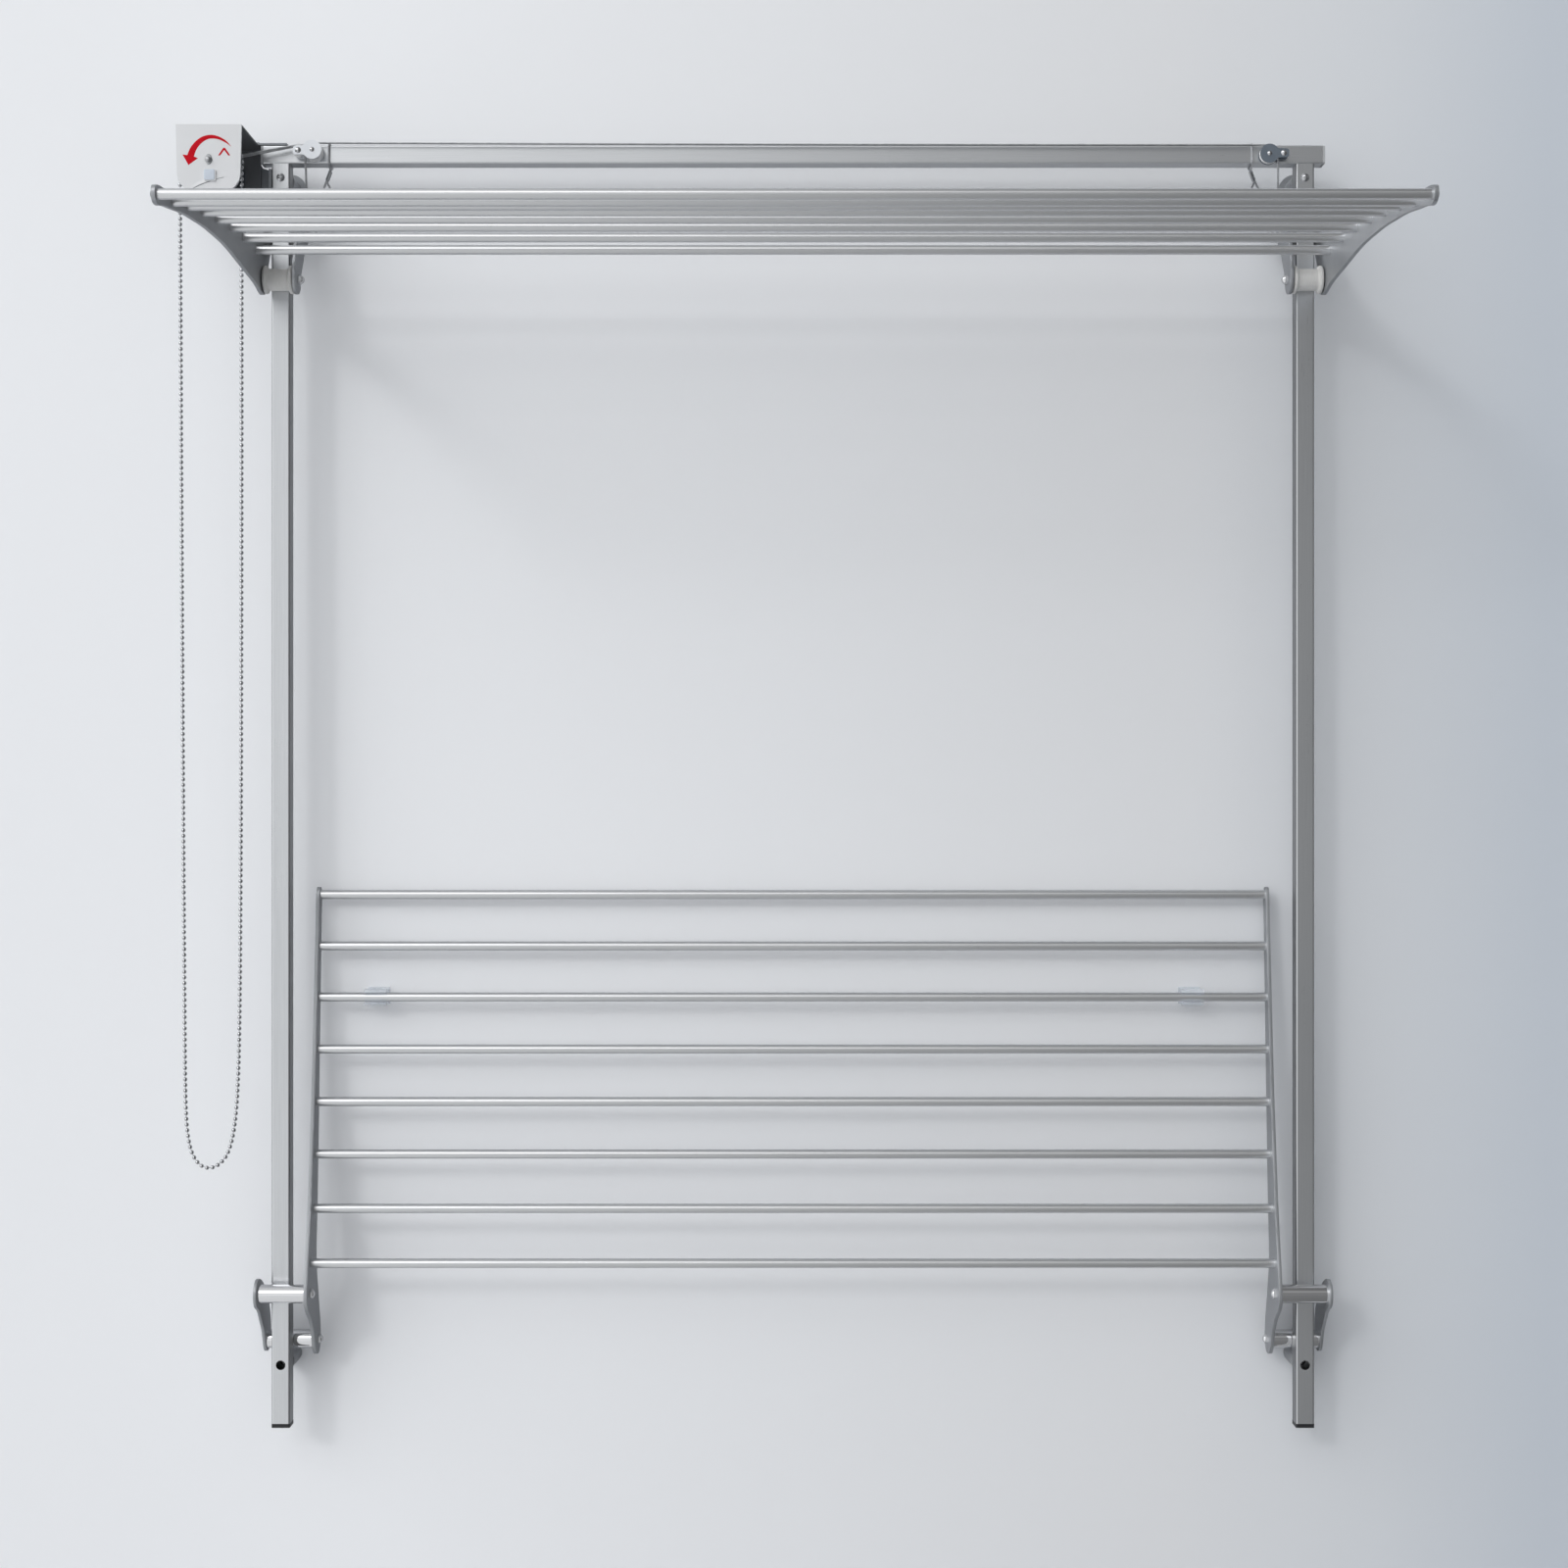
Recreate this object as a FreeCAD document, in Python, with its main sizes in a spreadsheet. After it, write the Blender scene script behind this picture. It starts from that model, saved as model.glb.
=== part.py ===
# Wall mounted fold-down drying rack: two posts and a beam on the wall, an upper rack
# that a chain winch raises and lowers on cables, and a lower rack folded up between
# the posts. Millimetres. X to the right, Y into the wall (wall plane Y=0), Z up.
# Origin: centre of the rectangle of the four wall screws, on the wall plane.
import FreeCAD, Part
import math
import os

Vector, Placement, Rotation = FreeCAD.Vector, FreeCAD.Placement, FreeCAD.Rotation
doc = FreeCAD.newDocument("drying_rack")

# ---------------------------------------------------------------- driving dimensions
P = dict([
    ("post_side", 20.0), ("post_wall", 1.5), ("post_corner", 1.8),
    ("half_span", 558.5), ("screw_half_height", 647.5), ("standoff_len", 40.0),
    ("post_low", -711.5), ("post_len", 1374.2), ("beam_half", 577.4), ("beam_low", 662.7),
    ("cap_thick", 3.0), ("foot_thick", 4.5),
    ("access_rad", 5.2), ("screw_rad", 2.5), ("screw_out", 30.0), ("screw_head_rad", 4.6),
    ("standoff_rad", 11.0), ("flange_rad", 17.0), ("flange_thick", 5.0),
    ("rod_rad", 5.0), ("rod_bore", 3.0), ("upper_rod_half", 574.5), ("lower_rod_half", 523.5),
    ("blade_thick", 4.0), ("bracket_thick", 3.5),
    ("roller_len", 32.4), ("roller_waist", 11.75), ("roller_flange", 15.25), ("roller_bore", 4.06),
    ("axle_rad", 4.0), ("axle_head_rad", 6.0), ("nut_rad", 5.6),
    ("rear_y", -28.0), ("rear_z", 592.2), ("front_y", -72.0), ("front_z", 533.2),
    ("tube_rad", 10.0), ("tube_bore", 8.4),
    ("low_rear_y", -29.7), ("low_rear_z", -625.6), ("low_front_y", -75.0), ("low_front_z", -566.4),
    ("clip_len", 24.0), ("clip_rad", 9.2), ("clip_bore", 5.35), ("clip_y", -23.5), ("clip_z", -249.3),
    ("winch_x", -617.75), ("winch_z", 645.9), ("wheel_rad", 33.9), ("chain_pitch_rad", 32.65),
    ("wheel_groove_rad", 29.9), ("drum_rad", 13.0), ("drum_flange_rad", 22.0),
    ("cable_rad", 1.2), ("chain_dia", 4.5), ("winch_axle_rad", 4.0),
    ("sheave_rad", 10.0), ("sheave_groove", 8.6), ("guide_rad", 6.3), ("guide_groove", 5.2),
    ("cheek_thick", 1.5), ("pin_rad", 2.0),
])
sheet = doc.addObject("Spreadsheet::Sheet", "dims")
for i, (word, value) in enumerate(P.items(), start=1):
    sheet.set("A%d" % i, word)
    sheet.set("B%d" % i, repr(float(value)))
    sheet.setAlias("B%d" % i, word)
doc.recompute()

nodes = {}      # node name -> document object
R90 = Rotation(Vector(0, 0, 1), Vector(1, 0, 0))


def d(expr):
    """Value of an expression over the sheet's words, as a float."""
    return float(value_of(expr)) if isinstance(expr, str) else float(expr)


def value_of(expr):
    # a tiny arithmetic reader: words of the sheet, numbers, + - * / with spaces
    out, op = None, "+"
    stack = []
    for tok in expr.split():
        if tok in "+-*/" and len(tok) == 1:
            op = tok
            continue
        val = P[tok] if tok in P else float(tok)
        if out is None:
            out = 0.0
            stack = [val]
            op = "+"
            continue
        if op == "*":
            stack[-1] *= val
        elif op == "/":
            stack[-1] /= val
        elif op == "+":
            stack.append(val)
        else:
            stack.append(-val)
    return sum(stack)


def words(expr):
    """The same expression as the sheet's own formula."""
    return " ".join("dims." + tok if tok in P else tok for tok in expr.split())


def bind(obj, prop, value):
    if isinstance(value, str):
        obj.setExpression(prop, words(value))
    else:
        setattr(obj, prop, value)


def place(obj, base, rot=None):
    obj.Placement = Placement(Vector(*[d(v) for v in base]), rot or Rotation())
    for axis, v in zip("xyz", base):
        if isinstance(v, str):
            obj.setExpression("Placement.Base." + axis, words(v))


AXES = {"X": Rotation(Vector(0, 1, 0), 90), "-X": Rotation(Vector(0, 1, 0), -90),
        "Y": Rotation(Vector(1, 0, 0), -90), "-Y": Rotation(Vector(1, 0, 0), 90),
        "Z": Rotation(), "-Z": Rotation(Vector(1, 0, 0), 180)}


def cyl(name, rad, length, base, axis="Z", rot=None):
    o = doc.addObject("Part::Cylinder", name)
    bind(o, "Radius", rad)
    bind(o, "Height", length)
    place(o, base, rot or AXES[axis])
    return o


def cone(name, r1, r2, length, base, axis="Z"):
    o = doc.addObject("Part::Cone", name)
    bind(o, "Radius1", r1)
    bind(o, "Radius2", r2)
    bind(o, "Height", length)
    place(o, base, AXES[axis])
    return o


def box(name, size, base, rot=None):
    o = doc.addObject("Part::Box", name)
    for prop, v in zip(("Length", "Width", "Height"), size):
        bind(o, prop, v)
    place(o, base, rot)
    return o


def dome(name, rad, height, base, axis):
    """Spherical cap of base radius rad and the given height, standing along axis."""
    r, hh = d(rad), d(height)
    big = (r * r + hh * hh) / (2.0 * hh)
    o = doc.addObject("Part::Sphere", name)
    o.Radius = big
    o.Angle1 = math.degrees(math.asin((big - hh) / big))
    o.Angle2 = 90.0
    step = AXES[axis].multVec(Vector(0, 0, -(big - hh)))
    o.Placement = Placement(Vector(*[d(v) for v in base]) + step, AXES[axis])
    return o


def fuse(name, items):
    o = doc.addObject("Part::MultiFuse", name)
    o.Shapes = list(items)
    o.Refine = True
    return o


def cut(name, base, tool):
    o = doc.addObject("Part::Cut", name)
    o.Base, o.Tool = base, tool
    return o


def group(name, items):
    """Identical separate solids kept together in one node."""
    o = doc.addObject("Part::Compound", name)
    o.Links = list(items)
    return o


def node(name, obj):
    obj.Label = name
    nodes[name] = obj
    return obj


def origin_plane(body, role):
    return [f for f in body.Origin.OriginFeatures if f.Role == role][0]


def sketch_on(body, name, role, offset=0.0):
    sk = body.newObject("Sketcher::SketchObject", name)
    sk.AttachmentSupport = (origin_plane(body, role), [""])
    sk.MapMode = "FlatFace"
    if offset:
        sk.AttachmentOffset = Placement(Vector(0, 0, offset), Rotation())
    return sk


def seg(a, b):
    return Part.LineSegment(Vector(a[0], a[1], 0), Vector(b[0], b[1], 0))


def loop(sk, pts):
    for i in range(len(pts)):
        sk.addGeometry(seg(pts[i], pts[(i + 1) % len(pts)]), False)


def smooth_loop(sk, pts):
    """Closed smooth outline through the points, in two halves that share tangents."""
    curve = Part.BSplineCurve()
    curve.interpolate(Points=[Vector(p[0], p[1], 0) for p in pts], PeriodicFlag=True)
    a, b = curve.FirstParameter, curve.LastParameter
    m = 0.5 * (a + b)
    for lo, hi in ((a, m), (m, b)):
        half = Part.BSplineCurve()
        half = curve.copy()
        half.segment(lo, hi)
        sk.addGeometry(half, False)


def rounded(sk, half_w, half_h, r, cx=0.0, cy=0.0):
    """Rounded rectangle of four lines and four arcs."""
    x0, x1, y0, y1 = cx - half_w, cx + half_w, cy - half_h, cy + half_h
    for a, b in (((x0 + r, y0), (x1 - r, y0)), ((x1, y0 + r), (x1, y1 - r)),
                 ((x1 - r, y1), (x0 + r, y1)), ((x0, y1 - r), (x0, y0 + r))):
        sk.addGeometry(seg(a, b), False)
    for (ax, ay), start in (((x1 - r, y0 + r), 270), ((x1 - r, y1 - r), 0),
                            ((x0 + r, y1 - r), 90), ((x0 + r, y0 + r), 180)):
        sk.addGeometry(Part.ArcOfCircle(Part.Circle(Vector(ax, ay, 0), Vector(0, 0, 1), r),
                                        math.radians(start), math.radians(start + 90)), False)


def pad(body, name, sk, length, reversed_=False, midplane=False):
    f = body.newObject("PartDesign::Pad", name)
    f.Profile = sk
    bind(f, "Length", length)
    f.Reversed = reversed_
    f.Midplane = midplane
    return f


def pocket(body, name, sk, length=None, reversed_=False):
    f = body.newObject("PartDesign::Pocket", name)
    f.Profile = sk
    if length is None:
        f.Type = "ThroughAll"
    else:
        bind(f, "Length", length)
    f.Reversed = reversed_
    return f


def revolved(name, pts, about):
    """Body of revolution: pts are (along, radius). about is X or Y."""
    body = doc.addObject("PartDesign::Body", name)
    sk = sketch_on(body, name + "_profile", "XY_Plane")
    loop(sk, [(a, r) if about == "X" else (r, a) for a, r in pts])
    rev = body.newObject("PartDesign::Revolution", name + "_turned")
    rev.Profile = sk
    rev.ReferenceAxis = (sk, ["H_Axis" if about == "X" else "V_Axis"])
    rev.Angle = 360.0
    return body


# ---------------------------------------------------------------- frame on the wall
side, wallt = P["post_side"], P["post_wall"]
hs, sh = P["half_span"], P["screw_half_height"]
cy = -(P["standoff_len"] + side / 2.0)          # middle of the posts' depth


def post(name, x):
    body = doc.addObject("PartDesign::Body", name)
    sk = sketch_on(body, name + "_section", "XY_Plane")
    rounded(sk, side / 2, side / 2, P["post_corner"])
    rounded(sk, side / 2 - wallt, side / 2 - wallt, 0.6)
    pad(body, name + "_tube", sk, "post_len")
    doc.recompute()
    holes = sketch_on(body, name + "_screw_holes", "XZ_Plane", side / 2 + 2)
    for z in (-sh, sh):
        c = Part.Circle(Vector(0, z - P["post_low"], 0), Vector(0, 0, 1), P["screw_rad"] + 0.3)
        holes.addGeometry(c, False)
    pocket(body, name + "_screw_drilling", holes)
    doc.recompute()
    acc = sketch_on(body, name + "_access_hole", "XZ_Plane", side / 2 + 2)
    acc.addGeometry(Part.Circle(Vector(0, -sh - P["post_low"], 0), Vector(0, 0, 1), P["access_rad"]), False)
    pocket(body, name + "_access_drilling", acc, 5.0)
    place(body, (x, cy, "post_low"))
    return node(name, body)


post("left_post", -hs)
post("right_post", hs)

beam = doc.addObject("PartDesign::Body", "top_beam")
sk = sketch_on(beam, "beam_section", "YZ_Plane")
rounded(sk, side / 2, side / 2, P["post_corner"])
rounded(sk, side / 2 - wallt, side / 2 - wallt, 0.6)
pad(beam, "beam_tube", sk, "2 * beam_half", midplane=True)
doc.recompute()
sk = sketch_on(beam, "beam_screw_holes", "XY_Plane", side / 2 + 2)
for x in (-hs, hs):
    sk.addGeometry(Part.Circle(Vector(x, 0, 0), Vector(0, 0, 1), 2.6), False)
pocket(beam, "beam_screw_drilling", sk)
place(beam, (0, cy, "beam_low + 10"))
node("top_beam", beam)

caps = []
for sx in (-1, 1):
    x0 = sx * P["beam_half"]
    plate = box("beam_cap_plate", ("cap_thick", "post_side", "post_side"),
                (x0 if sx > 0 else x0 - P["cap_thick"], cy - side / 2, "beam_low"))
    plug = box("beam_cap_plug", (8.0, 16.6, 16.6), (x0 - 8.0 if sx > 0 else x0, cy - 8.3, P["beam_low"] + 1.7))
    caps.append(fuse("beam_cap_body", [plate, plug]))
node("beam_end_caps", group("beam_end_caps", caps))

feet = []
for sx in (-1, 1):
    plate = box("foot_plate", ("post_side", "post_side", "foot_thick"),
                (sx * hs - side / 2, cy - side / 2, P["post_low"] - P["foot_thick"]))
    plug = box("foot_plug", (16.6, 16.6, 10.0), (sx * hs - 8.3, cy - 8.3, "post_low"))
    feet.append(fuse("foot_body", [plate, plug]))
node("post_end_caps", group("post_end_caps", feet))

plugs, pscrews = [], []
for sx in (-1, 1):
    blk2 = box("corner_upper_block", (16.6, 16.6, 12.0), (sx * hs - 8.3, cy - 8.3, P["beam_low"] - 12.0))
    drill = cyl("corner_drill", 2.5, 14.0, (sx * hs, cy, P["beam_low"] - 13.0))
    plugs.append(cut("corner_plug_body", blk2, drill))
    lift = 2.4 if sx < 0 else 0.0       # the left head sits on the winch's tie plate
    shank = cyl("corner_screw_shank", 2.4, side + 10.0 + lift, (sx * hs, cy, P["beam_low"] - 10.0))
    head = dome("corner_screw_head", 4.5, 2.4, (sx * hs, cy, P["beam_low"] + side + lift), "Z")
    pscrews.append(fuse("corner_screw_body", [shank, head]))
node("corner_plugs", group("corner_plugs", plugs))
node("corner_screws", group("corner_screws", pscrews))

# standoffs between posts and wall, on the wall screws
stand, screws = [], []
for sx in (-1, 1):
    for sz in (-1, 1):
        barrel = cyl("standoff_barrel", "standoff_rad", "standoff_len", (sx * hs, "0 - standoff_len", sz * sh), "Y")
        flange = cyl("standoff_flange", "flange_rad", "flange_thick",
                     (sx * hs, "0 - flange_thick", sz * sh), "Y")
        bore = cyl("standoff_bore", "screw_rad + 0.15", 60.0, (sx * hs, -50.0, sz * sh), "Y")
        if sz > 0:
            shape = fuse("standoff_blank", [barrel, flange])
        else:
            doc.removeObject(flange.Name)
            shape = barrel
        stand.append(cut("standoff_body", shape, bore))
        if sz > 0:      # head on the front face of the post
            y0 = cy - side / 2
            hr = P["screw_head_rad"]
        else:           # head inside the post, on its rear wall
            y0 = cy + side / 2 - wallt
            hr = 4.4
        shank = cyl("wall_screw_shank", "screw_rad - 0.2", -y0, (sx * hs, y0, sz * sh), "Y")
        thread = cyl("wall_screw_thread", "screw_rad", "screw_out", (sx * hs, 0.0, sz * sh), "Y")
        tip = cone("wall_screw_tip", 2.5, 0.6, 5.0, (sx * hs, P["screw_out"], sz * sh), "Y")
        head = dome("wall_screw_head", hr, 3.0, (sx * hs, y0, sz * sh), "-Y")
        solid = fuse("wall_screw_blank", [shank, thread, tip, head])
        slot1 = box("screw_slot", (1.1, 1.6, 4.6), (sx * hs - 0.55, y0 - 3.2, sz * sh - 2.3))
        slot2 = box("screw_slot", (4.6, 1.6, 1.1), (sx * hs - 2.3, y0 - 3.2, sz * sh - 0.55))
        screws.append(cut("wall_screw_body", solid, fuse("screw_cross", [slot1, slot2])))
node("wall_standoffs", group("wall_standoffs", stand))
node("wall_screws", group("wall_screws", screws))

# clips that hold the third rod of the folded lower rack
clips, cscrews = [], []
ky, kz, kr = P["clip_y"], P["clip_z"], P["clip_rad"]
for x in (-461.0, 442.0):
    ring = cyl("clip_ring", "clip_rad", "clip_len", (x - 12.0, ky, kz), "X")
    foot = box("clip_foot", ("clip_len", -ky, 2 * 7.2), (x - 12.0, ky, kz - 7.2))
    base = box("clip_base", ("clip_len", 2.6, 2 * kr), (x - 12.0, -2.6, kz - kr))
    blank = fuse("clip_blank", [ring, foot, base])
    bore = cyl("clip_seat", "clip_bore", 30.0, (x - 15.0, ky, kz), "X")
    mouth = box("clip_mouth", (30.0, 20.0, "2 * clip_bore"), (x - 15.0, ky - 20.0, kz - P["clip_bore"]))
    hole = cyl("clip_hole", 1.85, 30.0, (x, -25.0, kz), "Y")
    sink = cyl("clip_sink", 3.7, 4.0, (x, ky + 4.0, kz), "Y")
    clips.append(cut("clip_body", blank, fuse("clip_cuts", [bore, mouth, hole, sink])))
    shank = cyl("clip_screw_shank", 1.75, -ky - 6.3 + 22.0, (x, ky + 6.3, kz), "Y")
    head = cyl("clip_screw_head", 3.5, 1.6, (x, ky + 6.3, kz), "Y")
    cscrews.append(fuse("clip_screw_body", [shank, head]))
node("wall_clips", group("wall_clips", clips))
node("wall_clip_screws", group("wall_clip_screws", cscrews))

# ---------------------------------------------------------------- chain winch
wx, wz = P["winch_x"], P["winch_z"]
xl, xr, ztop = -652.5, -583.0, 683.4
yf, yb = -139.0, -44.0       # front face of the cover, back face of its rear plate
cover = doc.addObject("PartDesign::Body", "winch_housing")
# front plate, tapering slightly, with rounded lower corners
sk = sketch_on(cover, "front_plate_outline", "XZ_Plane", -yf)
xm = 0.5 * (xl + xr)
top_hw, low_hw, zlow, rc = 34.75, 33.4, 612.0, 20.0


def arc_pts(cx_, cz_, r, a0, a1, n):
    return [(cx_ + r * math.cos(math.radians(a0 + (a1 - a0) * i / n)),
             cz_ + r * math.sin(math.radians(a0 + (a1 - a0) * i / n))) for i in range(n + 1)]


outline = [(xm - top_hw, ztop), (xm - low_hw, zlow + rc)]
outline += arc_pts(xm - low_hw + rc, zlow + rc, rc, 180, 270, 10)[1:]
outline += arc_pts(xm + low_hw - rc, zlow + rc, rc, 270, 360, 10)
outline += [(xm + top_hw, ztop)]
loop(sk, outline)
f1 = pad(cover, "front_plate", sk, 3.0, reversed_=True)
doc.recompute()
sk = sketch_on(cover, "top_plate_outline", "XY_Plane", ztop)
loop(sk, [(xl, yf + 1.0), (xr, yf + 1.0), (xr, yb), (xl, yb)])
pad(cover, "top_plate", sk, 2.0, reversed_=True)
doc.recompute()
sk = sketch_on(cover, "rear_plate_outline", "XZ_Plane", -yb)
loop(sk, [(xl, ztop - 0.8), (xr, ztop - 0.8), (xr, 622.0), (xr - 8, 614.0), (xl + 8, 614.0), (xl, 622.0)])
pad(cover, "rear_plate", sk, 3.0)
doc.recompute()
# raised square boss under the axle, and the pressed arc below it
sk = sketch_on(cover, "boss_outline", "XZ_Plane", -yf)
rounded(sk, 6.2, 6.0, 1.5, -616.0, 629.2)
pad(cover, "boss", sk, 1.6)
doc.recompute()
sk = sketch_on(cover, "axle_hole", "XZ_Plane", -yf + 5.0)
sk.addGeometry(Part.Circle(Vector(wx, wz, 0), Vector(0, 0, 1), P["winch_axle_rad"] + 0.05), False)
pocket(cover, "axle_drilling", sk)
doc.recompute()
sk = sketch_on(cover, "rear_screw_holes", "XZ_Plane", 60.0)
for x, z in ((-633.0, 660.0), (-602.0, 622.0)):
    sk.addGeometry(Part.Circle(Vector(x, z, 0), Vector(0, 0, 1), 1.9), False)
pocket(cover, "rear_screw_drilling", sk)
node("winch_housing", cover)

web = doc.addObject("PartDesign::Body", "winch_bracket")
sk = sketch_on(web, "web_outline", "XZ_Plane", 43.8)
loop(sk, [(-640.0, 612.0), (-586.0, 612.0), (-581.5, 621.5), (-568.5, 621.5), (-568.5, 657.0), (-578.0, 660.6), (-581.4, 661.6), (-587.0, 671.0), (-640.0, 671.0)])
pad(web, "web_plate", sk, 2.8, reversed_=True)
doc.recompute()
sk = sketch_on(web, "flange_outline", "YZ_Plane", -568.5)
loop(sk, [(-60.0, 612.0), (-41.0, 612.0), (-41.0, 657.0), (-60.0, 657.0)])
pad(web, "flange_plate", sk, 3.0, reversed_=True)
doc.recompute()
sk = sketch_on(web, "web_axle_hole", "XZ_Plane", 60.0)
sk.addGeometry(Part.Circle(Vector(wx, wz, 0), Vector(0, 0, 1), P["winch_axle_rad"] + 0.05), False)
pocket(web, "web_axle_drilling", sk)
doc.recompute()
sk = sketch_on(web, "web_screw_holes", "XZ_Plane", 62.0)
for x, z in ((-633.0, 660.0), (-602.0, 622.0)):
    sk.addGeometry(Part.Circle(Vector(x, z, 0), Vector(0, 0, 1), 1.9), False)
pocket(web, "web_screw_drilling", sk)
doc.recompute()
sk = sketch_on(web, "flange_screw_holes", "YZ_Plane", -574.0)
for z in (624.0, 648.0):
    sk.addGeometry(Part.Circle(Vector(-50.0, z, 0), Vector(0, 0, 1), 1.9), False)
pocket(web, "flange_screw_drilling", sk, reversed_=True)
node("winch_bracket", web)

tie = fuse("tie_plate_blank", [box("tie_low", (31.0, 19.0, 2.4), (-582.9, -60.0, 682.7)),
                              box("tie_high", (20.0, 19.0, 2.4), (-602.0, -60.0, 683.4))])
tie_cuts = fuse("tie_plate_cuts", [cyl("tie_hole", 2.5, 10.0, (-hs, -50.0, 680.0)),
                                   cyl("tie_hole", 1.9, 10.0, (-578.5, -50.0, 680.0)),
                                   cyl("tie_hole", 1.9, 10.0, (-594.0, -50.0, 680.0))])
node("winch_tie_plate", cut("winch_tie_plate", tie, tie_cuts))

ws = []
for x, z in ((-633.0, 660.0), (-602.0, 622.0)):
    ws.append(fuse("winch_screw_body", [
        cyl("winch_screw_shank", 1.88, 5.9, (x, -47.0, z), "Y"),
        dome("winch_screw_head", 3.6, 2.2, (x, -47.0, z), "-Y")]))
for x, z in ((-578.5, 682.7), (-594.0, 683.4)):      # tie plate screws, into beam and cover
    ws.append(fuse("winch_screw_body", [
        cyl("winch_screw_shank", 1.88, 2.4, (x, -50.0, z), "Z"),
        dome("winch_screw_head", 3.4, 2.0, (x, -50.0, z + 2.4), "Z")]))
for z in (624.0, 648.0):        # bracket to the side of the left post
    ws.append(fuse("winch_screw_body", [
        cyl("winch_screw_shank", 1.88, 3.0, (-571.5, -50.0, z), "X"),
        dome("winch_screw_head", 3.4, 1.8, (-571.5, -50.0, z), "-X")]))
node("winch_screws", group("winch_screws", ws))
axle = fuse("winch_axle_solid", [
    cyl("winch_axle_rod", "winch_axle_rad", -41.2 - yf + 0.0, (wx, yf, wz), "Y"),
    dome("winch_axle_dome", 5.0, 3.4, (wx, yf, wz), "-Y")])
node("winch_axle", axle)

# chain wheel: groove for the bead chain between two rims
g, rr, pr = P["wheel_groove_rad"], P["wheel_rad"], P["winch_axle_rad"] + 0.06
wheel = revolved("chain_wheel", [(-134.8, pr), (-134.8, rr - 3), (-133.8, rr), (-131.9, rr), (-131.7, g + 1.4), (-130.6, g),
                                 (-127.4, g), (-126.3, g + 1.4), (-126.1, rr), (-124.2, rr), (-123.2, rr - 3), (-123.2, pr)], "Y")
place(wheel, ("winch_x", 0, "winch_z"))
node("chain_wheel", wheel)

dr, df = P["drum_rad"], P["drum_flange_rad"]
drum = revolved("cable_drum", [(-123.2, pr), (-123.2, 9.0), (-104.0, 9.0), (-104.0, df), (-101.6, df), (-101.2, dr),
                               (-64.8, dr), (-64.4, df), (-62.0, df), (-62.0, pr)], "Y")
place(drum, ("winch_x", 0, "winch_z"))
node("cable_drum", drum)

wound = revolved("wound_cable", [(-101.0, dr), (-101.0, dr + 1.8), (-100.0, dr + 2.3), (-66.0, dr + 2.3), (-65.0, dr + 1.8), (-65.0, dr)], "Y")
place(wound, ("winch_x", 0, "winch_z"))
node("wound_cable", wound)

# wrap spring brake around the hub between wheel and drum
spring = []
for k in range(5):
    t = doc.addObject("Part::Torus", "brake_turn")
    t.Radius1, t.Radius2 = 10.2, 1.15
    t.Placement = Placement(Vector(wx, -119.6 + 2.9 * k, wz), AXES["Y"])
    spring.append(t)
node("brake_spring", group("brake_spring", spring))

# ---------------------------------------------------------------- pulleys on the beam
LB = (-520.9, 673.4)      # large sheave of the left block, X and Z
LG = (-536.0, 672.6)      # its small guide roller
RB = (517.6, 671.0)       # sheave of the right block
RT = (533.2, 671.4)       # its fixing screw


def cheek_body(name, big, small, y_front, thick, front):
    """Teardrop plate: a disc round the sheave and a tab to the fixing screw."""
    body = doc.addObject("PartDesign::Body", name)
    sk = sketch_on(body, name + "_outline", "XZ_Plane", -y_front)
    s = 1.0 if small[0] > big[0] else -1.0
    bx, bz = big
    tx, tz = small
    tip = tx + s * 5.3
    pts = []
    pts += arc_pts(bx, bz, 10.3, 52 if s > 0 else 128, (360 - 52) if s > 0 else (-128), 22)
    # neck into the tab
    low = [(bx + s * 8.6, bz - 5.9), (bx + s * 10.6, tz - 4.9)]
    tab = [(tip - s * 1.6, tz - 4.6), (tip, tz - 3.0), (tip, tz + 3.0), (tip - s * 1.6, tz + 4.6)]
    high = [(bx + s * 10.6, tz + 4.9), (bx + s * 8.6, bz + 5.9)]
    loop(sk, pts + low + tab + high)
    pad(body, name + "_plate", sk, thick, reversed_=True)
    doc.recompute()
    hl = sketch_on(body, name + "_holes", "XZ_Plane", -y_front + 2)
    for c in (big, small):
        hl.addGeometry(Part.Circle(Vector(c[0], c[1], 0), Vector(0, 0, 1), P["pin_rad"] + 0.02), False)
    pocket(body, name + "_drilling", hl)
    return body


node("left_pulley_cheeks", group("left_pulley_cheeks", [
    cheek_body("left_front_cheek", LB, LG, -78.0, "cheek_thick", True),
    cheek_body("left_rear_cheek", LB, LG, -62.3, "cheek_thick", False)]))
node("right_pulley_cheeks", group("right_pulley_cheeks", [
    cheek_body("right_front_cheek", RB, RT, -71.6, "cheek_thick", True),
    cheek_body("right_rear_cheek", RB, RT, -62.3, "cheek_thick", False)]))


def pin(name, c, y_front, head_r):
    return fuse(name, [
        cyl(name + "_shank", "pin_rad", -60.0 - y_front, (c[0], y_front, c[1]), "Y"),
        dome(name + "_head", head_r, 1.5, (c[0], y_front, c[1]), "-Y"),
        cyl(name + "_spacer", 3.4, 0.7, (c[0], -60.8 + 0.1, c[1]), "Y")])


node("left_pulley_pins", group("left_pulley_pins", [pin("left_sheave_pin", LB, -78.0, 2.7), pin("left_guide_pin", LG, -78.0, 3.3)]))
node("right_pulley_pins", group("right_pulley_pins", [pin("right_sheave_pin", RB, -71.6, 2.7), pin("right_tab_screw", RT, -71.6, 3.3)]))


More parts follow.
